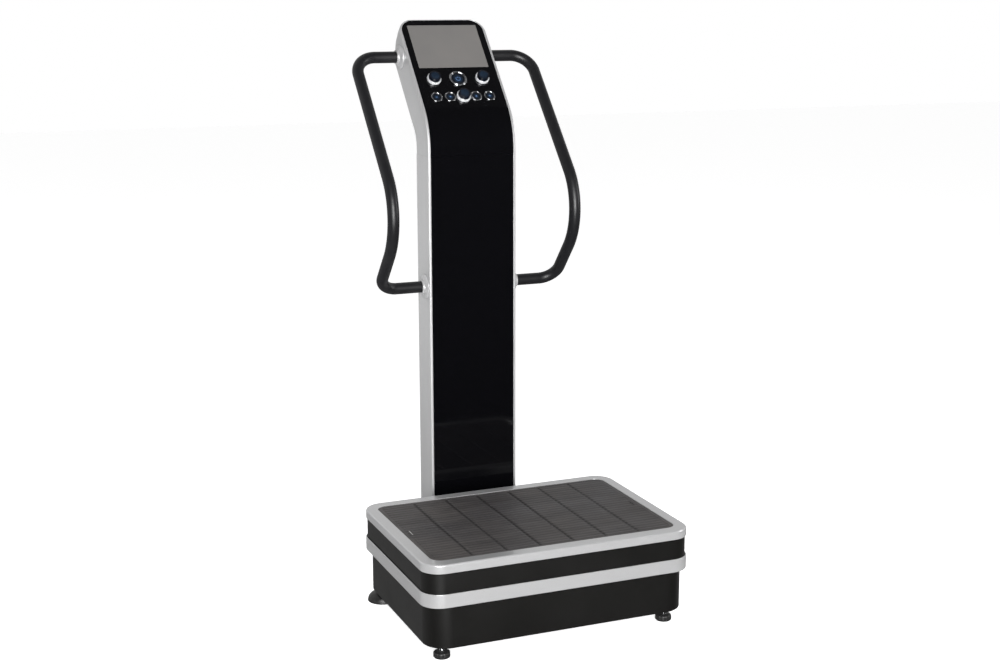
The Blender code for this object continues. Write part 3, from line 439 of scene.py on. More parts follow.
def hoopGrid(loop, profile, inner=None):
    # a profile point is (share, inset, z): from the outer loop (share 0) or the inner one (1), moved inwards
    path, facing = loop
    share, inset, z = (np.array(column)[None, :, None] for column in zip(*profile))
    outerPart = path[:, None, :] - inset * facing[:, None, :]
    innerPart = outerPart if inner is None else inner[0][:, None, :] - inset * facing[:, None, :]
    flat = outerPart * (1 - share) + innerPart * share
    height = np.broadcast_to(z, (*flat.shape[:2], 1))
    grid = np.concatenate([flat, height], 2)
    grid[..., 1] += deckMidY
    return grid


def arcProfile(centreInset, centreZ, radius, start, sweep, steps=6, share=0.0):
    # quarter round in a profile: start 180 is the outer side, 90 the top
    cosine, sine = quarter(steps, math.radians(start), math.radians(sweep))
    return [(share, centreInset + radius * c, centreZ + radius * s) for c, s in zip(cosine, sine)]


def shifted(outline, distance):
    # each corner of a closed outline moved inwards along its mitre
    edge = np.roll(outline, -1, 0) - outline
    edge /= np.linalg.norm(edge, axis=1)[:, None]
    outward = np.stack([edge[:, 1], -edge[:, 0]], 1)
    before = np.roll(outward, 1, 0)
    mitre = (outward + before) / (1 + (outward * before).sum(1))[:, None]
    return outline - distance * mitre


def cornerArc(corner, back, ahead, half, radius, steps, spacing=None):
    # the arc tangent to both sides of a corner, turned evenly about its centre from start to end
    centre = corner + (back + ahead) / np.linalg.norm(back + ahead) * radius / math.sin(half)
    start = corner + back * radius / math.tan(half) - centre
    end = corner + ahead * radius / math.tan(half) - centre
    sweep = math.acos(np.clip(start @ end / radius ** 2, -1, 1))
    if spacing:
        steps = max(steps, round(sweep * radius / spacing))
    share = np.linspace(0, 1, steps + 1)[:, None]
    turned = start * np.sin((1 - share) * sweep) + end * np.sin(share * sweep)
    return centre + turned / math.sin(sweep)


def softOutline(corners, radii, steps=6):
    # a closed outline whose corners are arcs of the given radii, tangent to both sides
    corners = np.array(corners, float)
    pieces = []
    for index, radius in enumerate(radii):
        corner = corners[index]
        back = corners[index - 1] - corner
        ahead = corners[(index + 1) % len(corners)] - corner
        back /= np.linalg.norm(back)
        ahead /= np.linalg.norm(ahead)
        half = math.acos(np.clip(back @ ahead, -1, 1)) / 2
        if radius <= 0 or half < 0.01 or half > 1.56:
            pieces.append(corner[None])
            continue
        pieces.append(cornerArc(corner, back, ahead, half, radius, steps))
    return np.concatenate(pieces)


def barGrid(outline, start, end, bevel, steps=3):
    # a closed outline carried from start to end; quarter rounds draw it in at both ends
    outline = np.asarray(outline, float)
    area = (outline[:, 0] * np.roll(outline[:, 1], -1) - np.roll(outline[:, 0], -1) * outline[:, 1]).sum()
    if area < 0:
        outline = outline[::-1]
    cosine, sine = quarter(steps)
    inset = np.concatenate([bevel * (1 - sine), bevel * (1 - sine[::-1])])
    level = np.concatenate([start + bevel * (1 - cosine), end - bevel * (1 - cosine[::-1])])
    layers = [np.column_stack([shifted(outline, b), np.full(len(outline), z)]) for b, z in zip(inset, level)]
    return np.stack(layers)


def turnedGrid(profile, sides=64):
    # a profile of (radius, height) carried round Z
    profile = np.array(profile, float)
    angle = np.linspace(0, 2 * math.pi, sides, endpoint=False)[:, None]
    radius, height = profile[None, :, 0], profile[None, :, 1]
    return np.stack([radius * np.cos(angle), radius * np.sin(angle), height + 0 * angle], -1)


def moved(grid, origin, xAxis, yAxis, zAxis):
    # places a grid by its origin and its three axes
    turn = np.array([xAxis, yAxis, zAxis], float)
    return grid @ turn + np.array(origin, float)


def roundedRun(corners, radii, spacing):
    # a centreline of straight runs joined by arcs, sampled evenly enough for a smooth tube
    corners = [np.array(corner, float) for corner in corners]
    parts = [corners[0][None]]
    for before, corner, after, radius in zip(corners, corners[1:], corners[2:], radii):
        back = (before - corner) / np.linalg.norm(before - corner)
        ahead = (after - corner) / np.linalg.norm(after - corner)
        half = math.acos(np.clip(back @ ahead, -1, 1)) / 2
        parts.append(cornerArc(corner, back, ahead, half, radius, 6, spacing))
    parts.append(corners[-1][None])
    return np.concatenate(parts)


def tubeGrid(path, radius, across, sides=40, ends=0.0008):
    # circles square to the path; their first radius is the tangent crossed with a fixed direction
    tangent = np.gradient(path, axis=0)
    tangent /= np.linalg.norm(tangent, axis=1)[:, None]
    side = np.cross(tangent, across)
    side /= np.linalg.norm(side, axis=1)[:, None]
    up = np.cross(side, tangent)
    size = np.full(len(path), radius)
    path = np.concatenate([path[:1], path[:1] + tangent[:1] * ends, path[1:-1],
                           path[-1:] - tangent[-1:] * ends, path[-1:]])
    side, up = (np.concatenate([v[:1], v, v[-1:]]) for v in (side, up))
    size = np.concatenate([[radius - ends], size, [radius - ends]])
    angle = np.linspace(0, 2 * math.pi, sides, endpoint=False)
    circle = np.cos(angle)[None, :, None] * side[:, None] + np.sin(angle)[None, :, None] * up[:, None]
    return path[:, None] + size[:, None, None] * circle


deck = {
    "outerRadius": 0.0475, "topRound": 0.0042, "bottomRound": 0.0009, "wall": 0.0023, "lip": 0.0008,
    "matRadius": 0.0254, "matMargin": 0.0105, "ribs": 25, "ribDepth": 0.0009, "seamDepth": 0.0017,
    "seams": (0.0413, 0.1239, 0.2065), "seamWidth": 0.0050, "borderWidth": 0.0022,
}


def buildRim():
    # a rolled rim: round outer shoulder, flat top, small lip down to the mat, thin wall inside the skirt
    lowest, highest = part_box("deck_rim")
    halfX, halfY = highest.x, (highest.y - lowest.y) / 2
    mat = high("standing_mat")
    loop = roundedLoop(halfX, halfY, deck["outerRadius"])
    inner = roundedLoop(mat.x + gap, mat.y - deckMidY + gap, deck["matRadius"] + gap)
    top, bottom, wall = highest.z, lowest.z, deck["wall"]
    under = low("standing_mat").z
    profile = arcProfile(deck["bottomRound"], bottom + deck["bottomRound"], deck["bottomRound"], -90, -90, 3)
    profile += arcProfile(deck["topRound"], top - deck["topRound"], deck["topRound"], 180, -90, 9)
    profile += [(1.0, -deck["lip"] * (1 - s), top - deck["lip"] * (1 - c)) for c, s in zip(*quarter(4))]
    profile += [(1.0, 0.0, under), (0.0, wall, under), (0.0, wall, bottom)]
    finishPiece("deckRim", gridMesh("deckRim", hoopGrid(loop, profile, inner), True, True),
                finishes["deck_silver"], "deck", ["deck_rim"])


def buildMat():
    # height over (x, y): round ribs along X inside a plain margin, cut by seams along Y and one border line
    lowest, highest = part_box("standing_mat")
    halfX, halfY, radius = highest.x, highest.y - deckMidY, deck["matRadius"]
    pitch = 2 * (halfY - deck["matMargin"]) / deck["ribs"]
    y = np.linspace(-halfY, halfY, round(2 * halfY / pitch) * 10 + 1)
    seamOffsets = np.linspace(-1.6, 1.6, 11) * deck["seamWidth"]
    seams = [side * seam + seamOffsets for seam in deck["seams"] for side in (-1, 1)]
    inside = halfX - radius - 0.003
    fixed = np.unique(np.concatenate([np.linspace(-inside, inside, 30), *seams]))
    reach = np.abs(y) - (halfY - radius)
    edgeX = halfX - radius + np.sqrt(np.maximum(radius ** 2 - np.maximum(reach, 0) ** 2, 0))
    outward = np.linspace(0, 1, 19)[1:]
    right = inside + (edgeX[:, None] - inside) * outward[None, :]
    x = np.concatenate([-right[:, ::-1], np.broadcast_to(fixed, (len(y), len(fixed))), right], 1)
    yy = np.broadcast_to(y[:, None], x.shape)
    corner = np.stack([np.maximum(np.abs(x) - (halfX - radius), 0),
                       np.maximum(np.abs(yy) - (halfY - radius), 0)])
    straight = np.minimum(halfX - np.abs(x), halfY - np.abs(yy))
    inset = np.where(corner.min(0) > 0, radius - np.hypot(*corner), straight)
    ribShare = np.clip((inset - deck["matMargin"]) / 0.0015, 0, 1)
    ribs = (0.5 - 0.5 * np.cos(2 * math.pi * (yy + halfY - deck["matMargin"]) / pitch)) ** 1.6
    z = highest.z - deck["ribDepth"] * (1 - ribs) * ribShare
    for seam in deck["seams"]:
        near = np.minimum(np.abs(x - seam), np.abs(x + seam)) / deck["seamWidth"]
        z = z - deck["seamDepth"] * np.exp(-near ** 2 * 2) * ribShare
    z = z - 0.0008 * np.exp(-((inset - deck["matMargin"]) / deck["borderWidth"]) ** 2 * 2)
    z = z - 0.0009 * np.clip(1 - inset / 0.0012, 0, 1) ** 2
    z = np.maximum(z, lowest.z + 0.0008)
    grid = np.stack([x, yy + deckMidY, z], -1)
    bottom = grid.copy()
    bottom[..., 2] = lowest.z
    rows, columns = z.shape
    edge = np.concatenate([np.arange(columns), np.arange(1, rows) * columns + columns - 1,
                           (rows - 1) * columns + np.arange(columns - 1)[::-1],
                           np.arange(1, rows - 1)[::-1] * columns])
    total = rows * columns
    base = np.arange(len(edge)) + total
    walls = np.stack([edge, np.roll(edge, -1), np.roll(base, -1), base], 1)
    points = np.concatenate([grid.reshape(-1, 3), bottom.reshape(-1, 3)[edge]])
    mesh = bpy.data.meshes.new("standingMat")
    mesh.from_pydata(points.tolist(), [], quadsOf(rows, columns).tolist() + walls.tolist() + [base.tolist()])
    finishPiece("standingMat", mesh, finishes["mat_rubber"], "deck", ["standing_mat"], sharp=60)


def buildSkirt():
    # a plain wall with a rolled lower edge and one shallow moulded line below the rim
    lowest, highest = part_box("deck_skirt")
    loop = roundedLoop(highest.x, (highest.y - lowest.y) / 2, deck["outerRadius"] - 0.0026)
    wall, top, bottom, line = 0.0030, highest.z, lowest.z, low("deck_rim").z - 0.0012
    profile = arcProfile(0.0012, bottom + 0.0012, 0.0012, -90, -90, 4)
    profile += [(0, 0, line - 0.0010), (0, 0.0007, line - 0.0006), (0, 0.0007, line), (0, 0, line + 0.0003),
                (0, 0, top), (0, wall, top), (0, wall, bottom)]
    finishPiece("deckSkirt", gridMesh("deckSkirt", hoopGrid(loop, profile), True, True),
                finishes["black_plastic"], "deck", ["deck_skirt"])


def buildMatMarks():
    # a short pale mark on the left margin, a painted highlight of a strap clip, and a dark one on the right,
    # painted shade of a strap slot: rounded outlines carried up a hair
    top = high("standing_mat").z
    for side, x, finish in (("left", -0.2850, paintedClipHighlight), ("right", 0.2850, paintedSlotShade)):
        corners = [(x - 0.0009, -0.020), (x + 0.0009, -0.020), (x + 0.0009, 0.009), (x - 0.0009, 0.009)]
        outline = softOutline(corners, (0.0008,) * 4, 4) + np.array([0, deckMidY])
        grid = barGrid(outline, top + 0.00004, top + 0.0005, 0.0002, 2)
        mesh = gridMesh(f"matMark_{side}", grid, False, True, True)
        finishPiece(f"matMark_{side}", mesh, finish, "deck")


buildRim()
buildMat()
buildMatMarks()
buildSkirt()
print("deck built")

base = {
    "cornerRadius": 0.0475, "bandRound": 0.0022, "bandWall": 0.0020, "bandHang": 0.0020,
    "housingRadius": 0.0550, "housingWall": 0.0030, "footRound": 0.0024,
}


def housingLoop(outside=0.0):
    # the housing's outline, which sits a little forward under the deck
    lowest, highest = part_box("lower_housing")
    path, facing = roundedLoop(highest.x + outside, (highest.y - lowest.y) / 2 + outside,
                               base["housingRadius"] + outside)
    return path + np.array([0, (highest.y + lowest.y) / 2 - deckMidY]), facing


def buildBand():
    # a strip with both outer edges rolled, and a flange under it that runs in to the housing
    lowest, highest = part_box("lower_band")
    loop = roundedLoop(highest.x, (highest.y - lowest.y) / 2, base["cornerRadius"] + 0.0012)
    inner = housingLoop(gap)
    top, bottom, r, wall = highest.z, lowest.z, base["bandRound"], base["bandWall"]
    profile = arcProfile(r, bottom + r, r, -90, -90, 5)
    profile += arcProfile(r * 0.5, top - r * 0.5, r * 0.5, 180, -90, 4)
    profile += [(0, wall, top), (0, wall, bottom + base["bandHang"]), (1, 0, bottom + base["bandHang"]),
                (1, 0, bottom)]
    finishPiece("lowerBand", gridMesh("lowerBand", hoopGrid(loop, profile, inner), True, True),
                finishes["deck_silver"], "base", ["lower_band"])


def buildHousing():
    # a tall wall with a rolled bottom edge
    lowest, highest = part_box("lower_housing")
    loop = housingLoop()
    top, bottom, wall, r = highest.z, lowest.z, base["housingWall"], base["footRound"]
    profile = [(0, wall, bottom), (0, r, bottom)] + arcProfile(r, bottom + r, r, -90, -90, 6)[1:]
    profile += [(0, 0, top), (0, wall, top)]
    finishPiece("lowerHousing", gridMesh("lowerHousing", hoopGrid(loop, profile), True, True),
                finishes["black_plastic"], "base", ["lower_housing"])


def screwHead(name, place, axis, across, radius=0.0034, rise=0.0014):
    # a turned pan head with a cross-shaped recess pressed in to one even depth inside both slots
    axis, across = np.array(axis, float), np.array(across, float)
    r = np.linspace(0, 1, 9)[None, :]
    angle = np.linspace(0, 2 * math.pi, 48, endpoint=False)[:, None]
    x, y = r * np.cos(angle), r * np.sin(angle)
    slot = np.minimum(np.abs(x), np.abs(y))
    depth = np.where((slot < 0.14) & (r < 0.62), 0.5, 0.0)
    dome = rise * (np.sqrt(np.clip(1 - (r * 0.86) ** 2, 0, 1)) - depth * 0.7)
    topPart = np.stack([x * radius, y * radius, dome], -1)
    rim = topPart[:, -1:].copy()
    rim[..., 2] = 0
    grid = moved(np.concatenate([topPart, rim], 1), place, across, np.cross(axis, across), axis)
    mesh = gridMesh(name, grid, True, False)
    finishPiece(name, mesh, finishes["machined_steel"], "base")


buildBand()
buildHousing()
print("base built")

foot = {"padRound": 0.0035, "lobes": 9, "lobeDepth": 0.0014, "threadPitch": 0.00125, "threadDepth": 0.0006}


def buildScrewFoot(side):
    # pad: a turned disc whose radius swells and sinks round its rim
    # stem: a screw thread, the radius falling and rising with height less the turn round Z
    body = f"front_foot_{side}"
    lowest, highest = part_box(f"foot_pad_{side}")
    centre = ((lowest.x + highest.x) / 2, (lowest.y + highest.y) / 2, 0)
    radius, rise = (highest.x - lowest.x) / 2, highest.z
    r = foot["padRound"]
    cosine, sine = quarter(6)
    profile = [(0, 0), (radius - r, 0)]
    profile += [(radius - r + r * s, 0.0035 - 0.0035 * c) for c, s in zip(cosine, sine)][1:]
    profile += [(radius - r + r * c, rise * 0.62 + r * s) for c, s in zip(cosine, sine)]
    profile += [(radius * 0.62, rise * 0.92), (radius * 0.5, rise * 0.93), (radius * 0.46, rise), (0, rise)]
    grid = turnedGrid(profile, 108)
    angle = np.linspace(0, 2 * math.pi, 108, endpoint=False)[:, None]
    wave = foot["lobeDepth"] * (0.5 - 0.5 * np.abs(np.cos(foot["lobes"] / 2 * angle)) ** 0.5 * 2 + 0.5)
    outer = np.clip((np.array(profile)[None, :, 0] / radius - 0.8) / 0.2, 0, 1)
    shrink = 1 - wave * outer / radius
    grid[..., 0] *= shrink
    grid[..., 1] *= shrink
    mesh = gridMesh(f"footPad_{side}", grid + np.array(centre), True, False)
    finishPiece(f"footPad_{side}", mesh, finishes["foot_rubber"], body, [f"foot_pad_{side}"])

    stemLow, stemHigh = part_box(f"foot_stem_{side}")
    height = np.linspace(0, 1, 361)[None, :]
    turn = np.linspace(0, 2 * math.pi, 28, endpoint=False)[:, None]
    length = stemHigh.z - stemLow.z
    phase = height * length / foot["threadPitch"] - turn / (2 * math.pi)
    cut = foot["threadDepth"] * np.abs(2 * (phase % 1) - 1) * np.clip((1 - height) / 0.03, 0, 1)
    size = (stemHigh.x - stemLow.x) / 2 - cut
    thread = np.stack([size * np.cos(turn), size * np.sin(turn), stemLow.z + height * length + 0 * turn], -1)
    mesh = gridMesh(f"footStem_{side}", thread + np.array(centre), True, False, False, True)
    finishPiece(f"footStem_{side}", mesh, finishes["chrome"], body, [f"foot_stem_{side}"], sharp=70)


def buildSuctionFoot(side):
    # a shallow dome: rolled lip, rounded back and a short ribbed neck, as radius over height turned round Z
    lowest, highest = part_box(f"suction_foot_{side}")
    centre = ((lowest.x + highest.x) / 2, (lowest.y + highest.y) / 2, 0)
    radius, rise = (highest.x - lowest.x) / 2, highest.z
    neck, domeTop = 0.0150, rise * 0.47
    turn = np.linspace(0.06, 1, 24) * math.pi / 2
    flare = neck + (radius - 0.0004 - neck) * np.cos(turn) ** 0.80
    height = 0.0016 + (domeTop - 0.0016) * np.sin(turn) ** 1.05
    cosine, sine = quarter(5, -math.pi / 2, math.pi / 2)
    lip = [(radius - 0.0011 + 0.0011 * c, 0.0011 + 0.0011 * s) for c, s in zip(cosine, sine)]
    profile = [(0, 0), *lip, *zip(flare, height), (neck, rise * 0.60), (neck * 0.94, rise * 0.62),
               (neck * 0.94, rise * 0.68), (neck, rise * 0.70), (neck, rise), (0, rise)]
    mesh = gridMesh(f"suctionFoot_{side}", turnedGrid(profile, 72) + np.array(centre), True, False)
    finishPiece(f"suctionFoot_{side}", mesh, finishes["foot_rubber"], "base",
                [f"suction_foot_{side}"])


for side in ("left", "right"):
    buildScrewFoot(side)
    buildSuctionFoot(side)
print("feet built")

column = {"strip": 0.0062, "frontRound": 0.0026, "rearRound": 0.0035, "shell": 0.0030, "flange": 0.0100,
          "panelBevel": 0.0007, "coverBevel": 0.0008,
          "screwX": 0.092, "screwRows": 5, "screwMargin": 0.05}


def buildColumnSide(side, sign):
    # a channel: its outline, seen from above, is carried from the neck up to the seam
    nodeName = f"column_side_{side}"
    lowest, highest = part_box(nodeName)
    x, front, rear = columnHalfX, columnFrontY, columnFrontY + columnDepth
    t = column["shell"]
    corners = [(x - column["strip"], front), (x, front), (x, rear), (x - column["flange"], rear),
               (x - column["flange"], rear - t), (x - t, rear - t), (x - t, front + t),
               (x - column["strip"], front + t)]
    radii = (0.0006, column["frontRound"], column["rearRound"], 0.0004, 0, 0, 0, 0.0004)
    outline = softOutline(corners, radii)
    outline[:, 0] *= sign
    grid = barGrid(outline, lowest.z, highest.z, 0.0005)
    finishPiece(f"columnSide_{side}", gridMesh(nodeName, grid, False, True, True),
                finishes["silver_paint"], "base", [nodeName])


def buildFlatPanel(name, nodeName, finishName, bevel, cornerRound):
    # a sheet with rounded edges: its outline from above carried up
    lowest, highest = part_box(nodeName)
    corners = [(lowest.x, lowest.y), (highest.x, lowest.y), (highest.x, highest.y), (lowest.x, highest.y)]
    outline = softOutline(corners, (cornerRound,) * 4, 4)
    finishPiece(name, gridMesh(name, barGrid(outline, lowest.z, highest.z, bevel), False, True, True),
                finishes[finishName], "base", [nodeName])


buildColumnSide("left", -1)
buildColumnSide("right", 1)
buildFlatPanel("columnFrontPanel", "column_front_panel", "black_gloss", column["panelBevel"], 0.0007)
buildFlatPanel("columnRearCover", "column_rear_cover", "silver_paint", column["coverBevel"], 0.0008)
rearY = high("column_rear_cover").y
margin = column["screwMargin"]
rowHeights = np.linspace(low("column_rear_cover").z + margin, seamZ - margin, column["screwRows"])
for index, z in enumerate(rowHeights):
    for side, sign in (("left", -1), ("right", 1)):
        place = (sign * column["screwX"], rearY - 0.00035, z)
        screwHead(f"rearScrew_{index}_{side}", place, (0, 1, 0), (1, 0, 0))
print("column built")

console = {
    "tilt": math.radians(41.5), "bendRadius": 0.1570, "faceTop": 0.2786, "backTop": 0.2088,
    "cornerRadius": 0.0410, "endWall": 0.0025, "backWall": 0.0030, "frontRound": 0.0022, "rearRound": 0.0060,
    "faceThick": 0.0030, "screenX": 0.0926, "screenLow": 0.1225, "screenHigh": 0.2591, "screenRound": 0.0020,
    "screenDepth": 0.0027,
}
tilt, bendRadius = console["tilt"], console["bendRadius"]
faceUp = np.array([0, math.sin(tilt), math.cos(tilt)])        # up the leaning face
faceOut = np.array([0, -math.cos(tilt), math.sin(tilt)])      # out of the leaning face
bendLength = bendRadius * tilt
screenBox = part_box("screen_glass")
glassDepth = console["screenDepth"]


def faceOrigin():
    # solves the face's start from the glass's box, whose lowest point is the rear lower edge of the glass and
    # whose most forward point is its front lower edge
    rearEdge = faceUp * console["screenLow"] - faceOut * glassDepth
    frontEdge = faceUp * console["screenLow"] - faceOut * gap
    return np.array([0, screenBox[0].y - frontEdge[1], screenBox[0].z - rearEdge[2]])


faceStart = faceOrigin()
bendCentre = faceStart - faceOut * bendRadius
endSlope = (console["faceTop"] - console["backTop"]) / columnDepth
endStretch = math.sqrt(1 + endSlope ** 2)


def leanPoint(x, s, d):
    # s runs along the front line: above 0 on the leaning face, below that round the bend and down the column
    # d is the depth behind that line, which shortens the bend's radius
    x, s, d = np.broadcast_arrays(np.asarray(x, float), np.asarray(s, float), np.asarray(d, float))
    angle = tilt * (1 + np.clip(s, -bendLength, 0) / bendLength)
    radius = bendRadius - d
    y = bendCentre[1] - np.cos(angle) * radius
    z = bendCentre[2] + np.sin(angle) * radius
    ahead = np.maximum(s, 0)
    behind = np.minimum(s + bendLength, 0)
    return np.stack([x, y + ahead * faceUp[1], z + ahead * faceUp[2] + behind], -1)


lowestS = -bendLength - (bendCentre[2] - seamZ)


def hoodPath(halfX, top, radius, arcSteps=16):
    # up the left edge, round the corner, across the top and down the right edge, with outward directions
    sides = np.concatenate([np.linspace(lowestS, -bendLength, 4)[:-1], np.linspace(-bendLength, 0, 26)[:-1],
                            np.linspace(0, top - radius, 8)[:-1]])
    cosine, sine = quarter(arcSteps, math.pi, -math.pi / 2)
    arc = np.stack([-halfX + radius + radius * cosine, top - radius + radius * sine], 1)
    across = np.linspace(-halfX + radius, 0, 7)[1:]
    left = np.concatenate([np.stack([np.full(len(sides), -halfX), sides], 1), arc,
                           np.stack([across, np.full(len(across), top)], 1)])
    facing = np.concatenate([np.tile([-1.0, 0.0], (len(sides), 1)), np.stack([cosine, sine], 1),
                             np.tile([0.0, 1.0], (len(across), 1))])
    right, rightFacing = left[:-1][::-1] * [-1, 1], facing[:-1][::-1] * [-1, 1]
    return np.concatenate([left, right]), np.concatenate([facing, rightFacing])


def buildShell():
    # a tray: each point of the hood's edge carries a profile from the middle of the back, round the rear and
    # front edges, over the lip and down inside to the middle again; the sloping end cuts the outline off
    halfX, depth, wall = columnHalfX, columnDepth, console["backWall"]
    lip = column["strip"]
    outer, facing = hoodPath(halfX, console["faceTop"], console["cornerRadius"])
    innerTop = console["faceTop"] - console["endWall"] * endStretch
    inner, _ = hoodPath(halfX - lip, innerTop, console["cornerRadius"] - lip)
    rr, rf = console["rearRound"], console["frontRound"]
    # a chain point is (share of the inner path, inset, depth)
    chain = []
    cosine, sine = quarter(6)
    chain += [(0, rr * (1 - s), depth - rr * (1 - c)) for c, s in zip(cosine, sine)]
    chain += [(0, 0, depth * share) for share in (0.75, 0.5, 0.25)]
    chain += [(0, rf * (1 - c), rf * (1 - s)) for c, s in zip(cosine, sine)]
    chain += [(1, -0.0004, 0.0), (1, 0, 0.0004), (1, 0, depth * 0.5), (1, 0, depth - wall)]
    share, inset, d = (np.array(values)[None, :] for values in zip(*chain))
    outerX, outerS = outer[:, :1] - inset * facing[:, :1], outer[:, 1:] - inset * facing[:, 1:]
    innerX, innerS = inner[:, :1] - inset * facing[:, :1], inner[:, 1:] - inset * facing[:, 1:]
    end = console["faceTop"] - endSlope * d
    x = outerX * (1 - share) + innerX * share
    outerS = np.minimum(outerS, end - inset * endStretch)
    innerS = np.minimum(innerS, end - console["endWall"] * endStretch)
    s = outerS * (1 - share) + innerS * share
    d = np.broadcast_to(d, s.shape)
    meetAt = console["backTop"] - 0.035
    rearSpine = leanPoint(0, np.minimum(outer[:, 1], meetAt), depth)
    innerSpine = leanPoint(0, np.minimum(outer[:, 1], meetAt), depth - wall)
    grid = leanPoint(x, s, d)
    grid = np.concatenate([rearSpine[:, None], grid, innerSpine[:, None]], 1)
    mesh = gridMesh("consoleShell", grid, False, False, True)
    finishPiece("consoleShell", mesh, finishes["silver_paint"], "base", ["console_shell"])


controls = {
    "far_left": (-0.0699, 0.0303, "flat", "minus"), "near_left": (-0.0343, 0.0303, "flat", "down"),
    "lower_knob": (0.0, 0.0303, "raised", "square"), "near_right": (0.0343, 0.0303, "flat", "up"),
    "far_right": (0.0699, 0.0303, "flat", "plus"), "left_knob": (-0.0640, 0.0855, "raised", "bars"),
    "start": (0.0, 0.0855, "large", "power"), "right_knob": (0.0640, 0.0855, "raised", "ring"),
}
# outside of the ring, its height, barrel, cap, cap height
controlSizes = {
    "flat": (0.0142, 0.0018, 0.0128, 0.0103, 0.0012),
    "large": (0.0226, 0.0025, 0.0205, 0.0168, 0.0018),
    "raised": (0.0178, 0.0080, 0.0165, 0.0150, 0.0160),
}


def loopEdges(start, count):
    # edges round a closed loop of points
    return [(start + i, start + (i + 1) % count) for i in range(count)]


def buildFace():
    # the black sheet: a grid from the seam round the bend, then a flat part with its window and bores cut out
    lip, slack = column["strip"] + gap, gap * 1.2
    halfX = columnHalfX - lip
    top = console["faceTop"] - console["endWall"] * endStretch - slack
    radius = console["cornerRadius"] - column["strip"]
    columns = np.linspace(-halfX, halfX, 15)
    rows = np.concatenate([np.linspace(lowestS, -bendLength, 3)[:-1], np.linspace(-bendLength, 0, 30)])
    lower = leanPoint(columns[None, :], rows[:, None], gap)
    quads = quadsOf(len(rows), len(columns)).tolist()

    cosine, sine = quarter(18)
    rightArc = np.stack([halfX - radius + radius * cosine, top - radius + radius * sine], 1)
    leftArc = rightArc[::-1] * [-1, 1]
    outline = np.concatenate([np.stack([columns, np.zeros(len(columns))], 1), rightArc, leftArc])
    w, r = console["screenX"] + gap, console["screenRound"]
    windowCorners = [(-w, console["screenLow"] - gap), (w, console["screenLow"] - gap),
                     (w, console["screenHigh"] + gap), (-w, console["screenHigh"] + gap)]
    loops = [outline, softOutline(windowCorners, (r,) * 4, 4)]
    turn = np.linspace(0, 2 * math.pi, 56, endpoint=False)
    for x, s, kind, _ in controls.values():
        bore = controlSizes[kind][2] + gap
        loops.append(np.stack([x + bore * np.cos(turn), s + bore * np.sin(turn)], 1))
    flat = np.concatenate(loops)
    edges, start = [], 0
    for loop in loops:
        edges += loopEdges(start, len(loop))
        start += len(loop)
    points, _, faces, *_ = delaunay_2d_cdt([Vector(p) for p in flat.tolist()], edges, [], 2, 1e-7)
    points = np.array([tuple(p) for p in points])
    centres = np.array([points[list(face)].mean(0) for face in faces])
    kept = (np.abs(centres[:, 0]) > w) | (centres[:, 1] < console["screenLow"])
    kept |= centres[:, 1] > console["screenHigh"]
    for x, s, kind, _ in controls.values():
        kept &= np.hypot(centres[:, 0] - x, centres[:, 1] - s) > controlSizes[kind][2] * 0.99
    upper = leanPoint(points[:, 0], points[:, 1], gap)
    offset = lower.shape[0] * lower.shape[1]
    faces = [[offset + i for i in face] for face, keep in zip(faces, kept) if keep]
    mesh = bpy.data.meshes.new("consoleFace")
    mesh.from_pydata(lower.reshape(-1, 3).tolist() + upper.tolist(), [], quads + faces)
    bm = bmesh.new()
    bm.from_mesh(mesh)
    bmesh.ops.remove_doubles(bm, verts=bm.verts, dist=1e-5)
    bmesh.ops.recalc_face_normals(bm, faces=bm.faces)
    bm.normal_update()
    if sum(face.normal.y * face.calc_area() for face in bm.faces) > 0:
        bmesh.ops.reverse_faces(bm, faces=bm.faces)
    bm.to_mesh(mesh)
    bm.free()
    mesh.shade_smooth()
    mesh.set_sharp_from_angle(angle=math.radians(30))
    mesh.materials.append(finishes["black_gloss"])
    piece = bpy.data.objects.new("consoleFace", mesh)
    bpy.context.collection.objects.link(piece)
    wall = piece.modifiers.new("thickness", "SOLIDIFY")
    wall.thickness = console["faceThick"]
    wall.offset = -1
    edge = piece.modifiers.new("edges", "BEVEL")
    edge.width = 0.0005
    edge.segments = 2
    edge.limit_method = "ANGLE"
    edge.angle_limit = math.radians(60)
    even = piece.modifiers.new("evenNormals", "WEIGHTED_NORMAL")
    even.keep_sharp = True
    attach(piece, "base")
    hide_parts("console_face")


def onFace(grid, x, s, d=0.0):
    # stands a shape made round Z on the leaning face
    origin = faceStart + faceUp * s - faceOut * d + np.array([x, 0, 0])
    return moved(grid, origin, (1, 0, 0), faceUp, faceOut)


def buildScreen():
    # the panel's glass with a ground edge, a hair below the face
    w = console["screenX"]
    corners = [(-w, console["screenLow"]), (w, console["screenLow"]), (w, console["screenHigh"]),
               (-w, console["screenHigh"])]
    outline = softOutline(corners, (console["screenRound"] - gap,) * 4, 5)
    grid = barGrid(outline, -glassDepth, -gap, 0.0007, 3)
    mesh = gridMesh("screenGlass", onFace(grid, 0, 0), False, True, True)
    finishPiece("screenGlass", mesh, finishes["screen"], "base", ["screen_glass"], sharp=50)


def beadedRun(outer, inner, seat, crest, bead):
    # a half-round bead at the outer radius, then a sunken flat that runs in to the inner radius
    cosine, sine = quarter(10, 0, math.pi)
    run = [(outer, seat)]
    run += [(outer - bead + bead * c, crest - bead * 0.8 + bead * 0.8 * s) for c, s in zip(cosine, sine)]
    sunk = seat + (crest - seat) * 0.45
    return run + [(outer - 2 * bead, sunk), (inner, sunk)]


